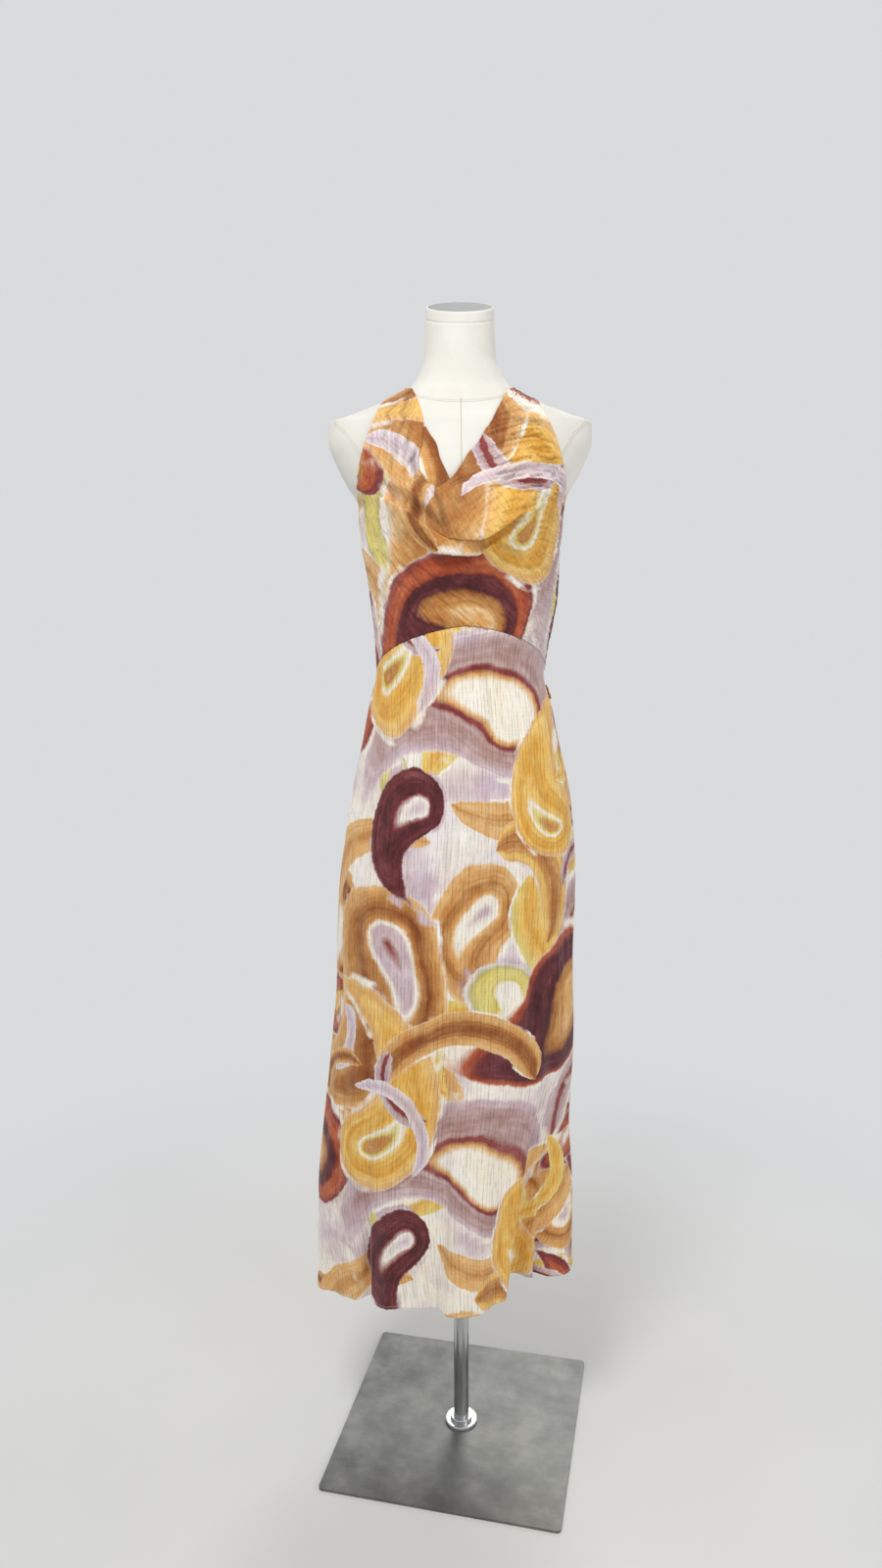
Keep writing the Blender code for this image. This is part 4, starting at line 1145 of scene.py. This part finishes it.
angles = np.linspace(math.pi / 2 + SEAM_HALF_GAP, 1.5 * math.pi - SEAM_HALF_GAP, CASING_COLUMNS + 1)
shares = np.linspace(0, 1, CASING_ROWS + 1)[:, None]
angle = np.broadcast_to(angles, (CASING_ROWS + 1, CASING_COLUMNS + 1))
height = casing_top(angle) - CASING_HEIGHT * (1 - shares)
puff = np.sin(math.pi * shares) ** 0.5
ripple = np.sin(angle * 46 + 2.2 * np.sin(angle * 7)) * (0.6 + 0.4 * np.sin(angle * 11))
out = CASING_WALL + GAP + CASING_PUFF * puff * (1 + 0.9 * ripple)
out = out - CASING_CHANNEL * bump((shares - 0.5) / 0.12)
points = off_sections(dress_section, angle, height, out)
laid = np.stack([widths_across(points) * CASING_FULLNESS, height], axis=-1) + BACK_PRINT
# Painted shade lies between its gathers.
casing = cloth_mesh("elastic_casing", [points], [laid], [0.5 - 0.5 * ripple * puff], CASING_WALL)
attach(casing, "root")
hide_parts("back_casing")
sewn = [sewn_row(row, points, angle, height, out) for row in CASING_STITCHES]
stitches("casing_stitches", sewn, sewing_thread)


# ======== Bodice front ========
# The halter front is one piece cut on the bias. Its neckline hangs in a cowl over one deep tuck and a
# smaller one below, and its two upper corners run over the shoulders to the neck band.
Edge = namedtuple("Edge", "height right left")
NECKLINE = [Edge(*row) for row in [
    (1.522, -0.033, -0.033),
    (1.527, -0.040, -0.022),
    (1.536, -0.048, -0.015),
    (1.544, -0.053, -0.009),
    (1.550, -0.057, -0.005),
    (1.560, -0.059, 0.001),
    (1.575, -0.058, 0.010),
    (1.588, -0.054, 0.022),
    (1.607, -0.053, 0.033),
    (1.618, -0.052, 0.041),
    (1.634, -0.055, 0.049),
    (1.648, -0.059, 0.056),
    (1.669, -0.067, 0.066),
]]
ARMHOLE = [Edge(*row) for row in [
    (1.480, -0.149, 0.149),
    (1.505, -0.147, 0.150),
    (1.545, -0.144, 0.146),
    (1.580, -0.137, 0.138),
    (1.610, -0.127, 0.128),
    (1.633, -0.117, 0.116),
    (1.648, -0.112, 0.110),
]]
UNDERARM = (1.400, 1.530)  # between these heights the side seam goes over into the armhole
STRAP_OUTER = {-1: 1.6625, 1: 1.6605}  # its height on the shoulder, by side: -1 is the wearer's right
STRAP_INNER = 1.6780
EDGE_SHARE = 0.88  # of each edge lies below the tables' tops, and the rest goes on to the shoulder line
CHEST_EASE = 0.005
SHOULDER_EASE = 0.0019
EASE_CHANGE = (1.50, 1.60)
LEAST_ROOM = 0.0017  # the cloth's outer face stands at least this far off the form
NECK_ROLL = 0.006
NECK_ROLL_DEPTH = 0.055

neckline_curves = table_curves(NECKLINE)
armhole_curves = table_curves(ARMHOLE)

# Rolls of the cowl, each along a line from the wearer's right to left. On side 1 the cloth above
# hangs out and down over the line; on side -1 the cloth below stands out and up in front of it.
Roll = namedtuple("Roll", "side out drop fade lip line")
TUCK_RIGHT = [(-52, 1.524), (-40, 1.511), (-31.5, 1.498), (-26, 1.489), (-20.5, 1.478)]
TUCK_MIDDLE = [(-16, 1.470), (-12, 1.464), (-8.5, 1.460), (-5.5, 1.459), (1.5, 1.460), (8, 1.461)]
TUCK_LEFT = [(11.5, 1.464), (17, 1.472), (22, 1.481), (28.5, 1.492), (38, 1.498), (50, 1.499)]
SMALL_TUCK = [(-19, 1.440), (-13.5, 1.435), (-8.5, 1.435), (0, 1.436), (5, 1.437), (8.5, 1.439)]
SMALL_TUCK += [(12.5, 1.445), (16.5, 1.453), (21, 1.460)]
COWL_ROLLS = [
    Roll(-1, 0.012, 0.009, 0.048, 0.006, TUCK_RIGHT + TUCK_MIDDLE),
    Roll(1, 0.014, 0.012, 0.055, 0.007, TUCK_MIDDLE + TUCK_LEFT),
    Roll(1, 0.007, 0.008, 0.024, 0.005, SMALL_TUCK),
]


def cowl(angle, height):
    """How far the cowl's rolls stand out, and how far they hang down."""
    out, drop = np.zeros_like(angle), np.zeros_like(angle)
    degrees = np.degrees(angle)
    for roll in COWL_ROLLS:
        line = np.array(roll.line)
        away = roll.side * (height - curve_through(line[:, 0], line[:, 1])(degrees))
        share = np.clip((degrees - line[0, 0]) / (line[-1, 0] - line[0, 0]), 0, 1)
        shape = np.sin(math.pi * share) ** 0.7 * smooth_step(away, 0, roll.lip)
        shape = shape * (1 - smooth_step(away, roll.lip, roll.fade))
        out += roll.out * shape
        drop += roll.side * roll.drop * shape
    out += NECK_ROLL * bump((height - NECKLINE[0].height) / NECK_ROLL_DEPTH) * bump(np.sin(angle))
    return out, drop


def room_inside(angle, height):
    """How far the sections under the cloth stand off the form."""
    (_, side, front, _), (_, form_side, form_front, _) = dress_section(height), form_section(height)
    return (side - form_side) * np.sin(angle) ** 2 + (front - form_front) * np.cos(angle) ** 2


def ease_over_form(height):
    return CHEST_EASE + (SHOULDER_EASE - CHEST_EASE) * smooth_step(height, *EASE_CHANGE)


def on_bodice(angle, height, out):
    """Points of the bodice's outer face, with its ease over the form and its rolls."""
    rolls, drop = cowl(angle, height)
    ease = ease_over_form(height) * smooth_step(height, *DRESS_TOP)
    out = np.maximum(out + ease + rolls, LEAST_ROOM - room_inside(angle, height))
    points = off_sections(dress_section, angle, height, out)
    points[..., 2] -= drop
    return points


def angle_across(across, height):
    shift, half_width = dress_section(height)[:2]
    return np.arcsin(np.clip((across - shift) / half_width, -1, 1))


def armhole_angle(sign, height):
    right, left = [curve(height) for curve in armhole_curves]
    round_armhole = angle_across(left if sign > 0 else right, height)
    side = sign * math.pi / 2
    return side + (round_armhole - side) * smooth_step(height, *UNDERARM)


def neckline_at(t, sign):
    """Angle and height on the neckline, from its lowest point, t 0, up to the shoulder line, t 1."""
    t = np.asarray(t, float)
    low, high = NECKLINE[0].height, NECKLINE[-1].height
    height = low + (high - low) * np.minimum(t / EDGE_SHARE, 1.0) ** 1.1
    right, left = [curve(height) for curve in neckline_curves]
    start = angle_across(left if sign > 0 else right, height)
    along = np.maximum(0.0, (t - EDGE_SHARE) / (1 - EDGE_SHARE))
    return start + (sign * math.pi / 2 - start) * along, height + (STRAP_INNER - height) * along


def armhole_at(t, sign):
    """Angle and height on the armhole, from level with the neckline's lowest point to the shoulder."""
    t = np.asarray(t, float)
    low, high = NECKLINE[0].height, ARMHOLE[-1].height
    height = low + (high - low) * np.minimum(t / EDGE_SHARE, 1.0)
    start = armhole_angle(sign, height)
    along = np.maximum(0.0, (t - EDGE_SHARE) / (1 - EDGE_SHARE))
    climb = 1 - (1 - along) ** 2.2
    return start + (sign * math.pi / 2 - start) * along, height + (STRAP_OUTER[sign] - height) * climb


def between(first, last, columns):
    """Angles and heights spaced evenly between two edges, for arrays of places along them."""
    share = np.linspace(0, 1, columns + 1)
    return [a[..., None] + (b - a)[..., None] * share for a, b in zip(first, last)]


RIGHT_COLUMNS = 104
LEFT_COLUMNS = 136
BODY_ROWS = 104
STRAP_ROWS = 96
BIAS = math.radians(37)  # the cut's lean against the grain

valley = neckline_at(0, -1)
right_chest = between(armhole_at(0, -1), valley, RIGHT_COLUMNS)[0]
left_chest = between(valley, armhole_at(0, 1), LEFT_COLUMNS)[0]
low, high = armhole_angle(-1, valley[1]), armhole_angle(1, valley[1])
chest_share = (np.concatenate([right_chest, left_chest[1:]]) - low) / (high - low)
even = np.linspace(0, 1, RIGHT_COLUMNS + LEFT_COLUMNS + 1)
climb = np.linspace(0, 1, BODY_ROWS + 1)[:, None]
base = seam_height(math.pi * (even - 0.5)) + GAP
body_height = base + (valley[1] - base) * climb
body_share = even + (chest_share - even) * climb
edges = armhole_angle(-1, body_height), armhole_angle(1, body_height)
climbs = np.linspace(0, 1, STRAP_ROWS + 1)
places = [
    (edges[0] + (edges[1] - edges[0]) * body_share, body_height),
    between(armhole_at(climbs, -1), neckline_at(climbs, -1), RIGHT_COLUMNS),
    between(neckline_at(climbs, 1), armhole_at(climbs, 1), LEFT_COLUMNS),
]


def combed_sheet(width, height, cell, reach, lean, seed):
    """Noise drawn out into streaks: lean gives their angle from upright for arrays of places."""
    rows, columns = int(height / cell), int(width / cell)
    specks = soften(np.random.default_rng(seed).standard_normal((rows, columns)), 1, 1)
    up, across = np.meshgrid(np.arange(rows) * cell, np.arange(columns) * cell, indexing="ij")
    slant = lean(across, up)
    total = specks.copy()
    for way in (1, -1):
        x, y = across.copy(), up.copy()
        for step in range(int(reach / cell)):
            r = np.clip((y / cell).astype(int), 0, rows - 1)
            c = np.clip((x / cell).astype(int), 0, columns - 1)
            x += way * cell * np.sin(slant[r, c])
            y += way * cell * np.cos(slant[r, c])
            total += read_sheet(specks, cell, x, y) * (0.5 + 0.5 * math.cos(math.pi * step * cell / reach))
    return (total - total.mean()) / total.std()


# The crinkle runs with the grain: along the strap on the wearer's right, across it on the left,
# and slanting over the lower front. Each spot gives that lean from upright, in degrees.
Spot = namedtuple("Spot", "angle height lean")
GRAIN_SPOTS = [Spot(*row) for row in [
    (-60, 1.64, 20), (-34, 1.63, 12), (-48, 1.60, 8), (-30, 1.585, 10), (-50, 1.55, 8), (-24, 1.555, 8),
    (-30, 1.515, 2), (-20, 1.51, -2), (-12, 1.50, -20), (-4, 1.49, -30), (-58, 1.50, -6),
    (-60, 1.45, -20), (-62, 1.40, -26), (-35, 1.45, -36), (-20, 1.42, -46), (0, 1.40, -52),
    (-35, 1.36, -40), (25, 1.38, -56), (55, 1.40, -60), (4, 1.515, 50), (10, 1.547, 84), (21, 1.556, 56),
    (16, 1.60, 70), (16, 1.56, 50), (30, 1.59, 78), (36, 1.57, 95), (41, 1.605, 130), (46, 1.567, 104),
    (30, 1.635, 74), (50, 1.65, 96), (12, 1.52, 60), (55, 1.53, 108), (48, 1.50, 96), (60, 1.47, 100),
    (30, 1.515, 70), (26, 1.455, -50),
]]
CHEST_RADIUS = 0.135  # turns the bodice's angles into widths of cloth
SHEET_SIDE = 0.40
SHEET_HEIGHT = 0.44
SHEET_BASE = 1.26
SHEET_CELL = 0.001
SHEET_COMB = 0.022  # how long a crinkle runs


def grain_lean(across, up):
    turn_x, turn_y = np.zeros_like(across), np.zeros_like(across)
    for spot in GRAIN_SPOTS:
        aside = across - SHEET_SIDE / 2 - math.radians(spot.angle) * CHEST_RADIUS
        weight = 1 / (aside**2 + (up + SHEET_BASE - spot.height) ** 2 + 0.0002) ** 1.5
        turn_x += weight * math.cos(2 * math.radians(spot.lean))
        turn_y += weight * math.sin(2 * math.radians(spot.lean))
    return 0.5 * np.arctan2(turn_y, turn_x)


bodice_combed = combed_sheet(SHEET_SIDE, SHEET_HEIGHT, SHEET_CELL, SHEET_COMB, grain_lean, 5)
BODICE_CREASES = [Crease(*row) for row in [
    # the whole cowl stands off the chest
    (0.060, -0.0090, [(-40, 1.500), (-20, 1.490), (0, 1.482), (22, 1.492), (42, 1.505)]),
    # and the straps stand off the shoulders
    (0.050, -0.0026, [(-60, 1.665), (-36, 1.640), (-34, 1.600), (-44, 1.550), (-50, 1.500)]),
    (0.050, -0.0022, [(60, 1.665), (34, 1.640), (30, 1.600), (44, 1.550), (54, 1.500)]),
    # shadowed slopes along the main tuck
    (0.017, 0.0120, [(-42, 1.532), (-32, 1.512), (-24, 1.498), (-15, 1.482), (-6, 1.470)]),
    (0.012, 0.0160, [(4, 1.455), (10, 1.456), (16, 1.462), (22, 1.472), (28, 1.484), (34, 1.492)]),
    (0.010, 0.0095, [(-18, 1.433), (-12, 1.428), (-5, 1.429), (4, 1.431)]),
    # pulled lines down the right strap
    (0.0038, 0.0022, [(-54, 1.661), (-36, 1.642), (-31, 1.621), (-33, 1.601), (-36, 1.581)]),
    (0.0042, 0.0028, [(-48, 1.666), (-32, 1.647), (-24, 1.625), (-27, 1.604), (-29, 1.582),
                     (-32, 1.563), (-36, 1.546)]),
    (0.0042, 0.0028, [(-20, 1.623), (-22, 1.599), (-24, 1.583), (-26, 1.569), (-28, 1.555)]),
    (0.0040, 0.0026, [(-18, 1.593), (-21, 1.571), (-25, 1.558), (-29, 1.545)]),
    (0.0036, 0.0016, [(-42, 1.628), (-40, 1.600), (-44, 1.570), (-50, 1.535)]),
    (0.0036, 0.0014, [(-56, 1.625), (-54, 1.595), (-58, 1.560), (-63, 1.520)]),
    (0.0060, 0.0030, [(-21, 1.588), (-22, 1.565), (-22, 1.545), (-20, 1.530)]),
    # from the neckline's lowest point down into the tuck
    (0.0060, 0.0034, [(-14, 1.524), (-13, 1.514), (-11, 1.500), (-8, 1.478)]),
    (0.0060, -0.0022, [(-18, 1.530), (-16, 1.512), (-14, 1.495), (-11, 1.478)]),
    (0.0070, 0.0024, [(-21, 1.526), (-21, 1.508), (-20, 1.492)]),
    # soft valley and swell across the left side
    (0.0120, 0.0036, [(14, 1.492), (17, 1.515), (22, 1.531), (26, 1.544), (32, 1.557),
                     (41, 1.554), (56, 1.545)]),
    (0.0240, -0.0045, [(24, 1.520), (38, 1.528), (52, 1.522), (66, 1.508)]),
    (0.0070, 0.0022, [(10, 1.548), (18, 1.565), (27, 1.578), (38, 1.577), (52, 1.568)]),
    (0.0060, 0.0020, [(12, 1.580), (21, 1.596), (32, 1.601), (42, 1.592), (50, 1.578)]),
    (0.0060, 0.0018, [(16, 1.612), (26, 1.621), (36, 1.618), (46, 1.604)]),
    # below the second tuck
    (0.0050, 0.0020, [(16, 1.454), (22, 1.451), (27, 1.445), (35, 1.435)]),
    (0.0045, 0.0016, [(18, 1.450), (25, 1.445), (31, 1.436)]),
    (0.0120, 0.0028, [(-68, 1.500), (-60, 1.460), (-50, 1.430), (-40, 1.405)]),
    (0.0100, 0.0018, [(-10, 1.420), (5, 1.395), (15, 1.370)]),
    (0.0080, 0.0016, [(-44, 1.440), (-34, 1.412), (-22, 1.385), (-14, 1.366)]),
    (0.0080, 0.0016, [(34, 1.425), (44, 1.400), (54, 1.370)]),
]]
TUCK_CREASES = [crease for crease in BODICE_CREASES if crease.depth > 0.009]
TUCK_SHADE = 3.0  # painted shade down in a tuck: how dark the light gauze is made there
TUCK_DEPTH = 0.012
BODICE_CRINKLE = 0.0014
BODICE_THIN = 0.35
PULLED_MORE = 0.9  # the left strap crinkles more, from these angles and heights on
PULLED_SIDE = (0.1, 0.4)
PULLED_UP = (1.48, 1.53)
ARMHOLE_HEM = 0.0052
NECKLINE_HEM = 0.0030
HEM_STEP = 0.0006
HEM_CALM = 0.35  # the doubled cloth of a hem crinkles less
STITCH_INSET = 0.0014
PRINT_OFFSET = (-0.42, 0.135)  # where the piece was cut from the printed cloth
# The body's and the straps' narrow turned hems: the end of each row that they lie at, and their width.
HEMS = [
    [(0, ARMHOLE_HEM), (-1, ARMHOLE_HEM)],
    [(0, ARMHOLE_HEM), (-1, NECKLINE_HEM)],
    [(-1, ARMHOLE_HEM), (0, NECKLINE_HEM)],
]
blocks, laid, valleys, sewn = [], [], [], []
to_shoulder = 1 - smooth_step(climbs, 0.86, 0.98)[:, None]
for (angle, height), calm, ends in zip(places, (1.0, to_shoulder, to_shoulder), HEMS):
    across = angle * CHEST_RADIUS
    noise = read_sheet(bodice_combed, SHEET_CELL, across + SHEET_SIDE / 2, height - SHEET_BASE)
    lines = crinkle_lines(noise, BODICE_THIN)
    pulled = 1 + PULLED_MORE * smooth_step(angle, *PULLED_SIDE) * smooth_step(height, *PULLED_UP)
    flat = on_bodice(angle, height, np.zeros_like(angle))
    hems = [(width, np.linalg.norm(flat - flat[:, end, None], axis=-1)) for end, width in ends]
    for width, away in hems:
        pulled = pulled * (HEM_CALM + (1 - HEM_CALM) * smooth_step(away, width, 3 * width))
    out = crease_out(BODICE_CREASES, angle, height) - BODICE_CRINKLE * pulled * (lines - 0.35 - 0.4 * noise)
    out *= smooth_step(math.pi / 2 - np.abs(angle), 0.0, 0.05) * calm
    for width, away in hems:
        out += HEM_STEP * (1 - smooth_step(away, width - 0.0012, width + 0.0004))
    blocks.append(on_bodice(angle, height, out))
    skin = off_sections(dress_section, angle, height, 0.0)
    outward = off_sections(dress_section, angle, height, 1.0) - skin
    for width, away in hems:
        if width == ARMHOLE_HEM:
            spots = np.arange(len(away)), np.argmin(np.abs(away - width + STITCH_INSET), axis=1)
            sewn.append((blocks[-1][spots], outward[spots]))
    slant = np.stack([across * math.cos(BIAS) + height * math.sin(BIAS),
                      height * math.cos(BIAS) - across * math.sin(BIAS)], axis=-1)
    laid.append(slant + PRINT_OFFSET)
    # Painted shade for the material: in the tucks, in the pulled lines and in the crinkle's valleys.
    shaded = TUCK_SHADE * np.clip(-crease_out(TUCK_CREASES, angle, height) / TUCK_DEPTH, 0, 1)
    shaded = shaded + 1.5 * pulled_line_shade(BODICE_CREASES, angle, height)
    valleys.append(lines * (0.9 + 1.2 * pulled) + shaded * calm)
bodice = cloth_mesh("halter_front", blocks, laid, valleys, straight=0.55)
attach(bodice, "root")
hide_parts("bodice_front")
stitches("armhole_stitches", sewn, sewing_thread)


# ======== Cowl facing ========
# The neckline's edge is turned in; on the wearer's right the turned strip shows, lying on the chest.
Point = namedtuple("Point", "height across")
FACING_EDGE = [Point(*row) for row in [
    (1.505, -0.009),
    (1.538, -0.016),
    (1.553, -0.0225),
    (1.570, -0.0300),
    (1.587, -0.0340),
    (1.603, -0.0440),
    (1.617, -0.0510),
]]
FACING_GAP = 0.0002
FACING_REACH = (-0.12, 0.56)  # along the neckline, from its lowest point
FACING_ROWS = 180
FACING_COLUMNS = 14
FACING_TUCK = 0.0050  # how far its fold lies in, under the neckline's lowest stretch
FACING_TUCKED = 0.28
FACING_UNDER = 0.0008  # and all along
FACING_LIFT = 0.0023  # its free edge stands off the form
FACING_BULGE = 0.001
FACING_CRINKLE = 0.0009
FACING_LINES = 190  # turns of its wrinkles along the whole neckline
FACING_SLANT = 0.4
FACING_PRINT = (-0.93, 0.146)
across_at = table_curves(FACING_EDGE)[0]
t = np.linspace(*FACING_REACH, FACING_ROWS + 1)
angle, height = neckline_at(np.maximum(t, 0.0), -1)
height = height + np.minimum(t, 0.0) * (NECKLINE[-1].height - NECKLINE[0].height)
tuck = FACING_TUCK * (1 - smooth_step(t, 0.0, FACING_TUCKED)) + FACING_UNDER
fold = on_bodice(angle, height, -tuck) + (FACING_GAP, 0, 0)
free_angle = np.arcsin(across_at(fold[:, 2]) / form_section(fold[:, 2])[1])
free = off_sections(form_section, free_angle, fold[:, 2], FACING_LIFT)
share = np.linspace(0, 1, FACING_COLUMNS + 1)
rows = fold[:, None] + (free - fold)[:, None] * share[None, :, None]
rows[..., 1] -= FACING_BULGE * np.sin(math.pi * share)
t = t[:, None]
lines = t * FACING_LINES + 2.4 * np.sin(t * 31) + 1.6 * np.sin(5 * share + t * 9)
wave = FACING_CRINKLE * (np.sin(lines) ** 2) ** 1.5 * (0.6 + 0.4 * np.sin(t * 47))
rows[..., 1] -= wave * np.sin(math.pi * share) ** 0.5
across, _, up = np.moveaxis(rows, -1, 0)
laid = np.stack([up - across * FACING_SLANT, across + up * FACING_SLANT], axis=-1) + FACING_PRINT
# The valleys between its wrinkles get painted shade.
facing = cloth_mesh("cowl_turned_edge", [rows], [laid], [1 - np.sin(lines) ** 2], straight=0.1)
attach(facing, "root")
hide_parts("cowl_facing")


# ======== Neck band ========
# A band of doubled gauze joins the two strap ends behind the neck.
BAND_DIP = 0.012
BAND_NARROW = 0.006  # between each shoulder and the nape
SHOULDER_GAP = math.radians(0.7)
BAND_COLUMNS = 160
BAND_ROWS = 14
BAND_WALL = 0.0015  # the gauze is doubled
BAND_CRINKLE = 0.0004
BAND_PRINT = (0.2, 0.0)
turn = math.pi / 2 + SHOULDER_GAP
turns = np.linspace(turn, 2 * math.pi - turn, BAND_COLUMNS + 1)
angle = np.broadcast_to(turns, (BAND_ROWS + 1, BAND_COLUMNS + 1))
share = np.linspace(0, 1, BAND_ROWS + 1)[:, None]
dip = BAND_DIP * smooth_step(-np.cos(angle), 0.0, 1.0)
outer = STRAP_OUTER[1] + (STRAP_OUTER[-1] - STRAP_OUTER[1]) * smooth_step(angle, turn, 2 * math.pi - turn)
outer = outer + BAND_NARROW * np.abs(np.sin(2 * angle))
height = outer + (STRAP_INNER - outer) * share - dip
noise = read_sheet(skirt_combed, CRINKLE_CELL, angle * 0.12, height)
lines = crinkle_lines(noise, 0.3)
points = off_sections(dress_section, angle, height, ease_over_form(height) - BAND_CRINKLE * lines)
laid = np.stack([widths_across(points), height], axis=-1) + BAND_PRINT
# Its crinkle's valleys get painted shade.
band = cloth_mesh("neck_band_cloth", [points], [laid], [lines], BAND_WALL)
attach(band, "root")
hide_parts("neck_band")
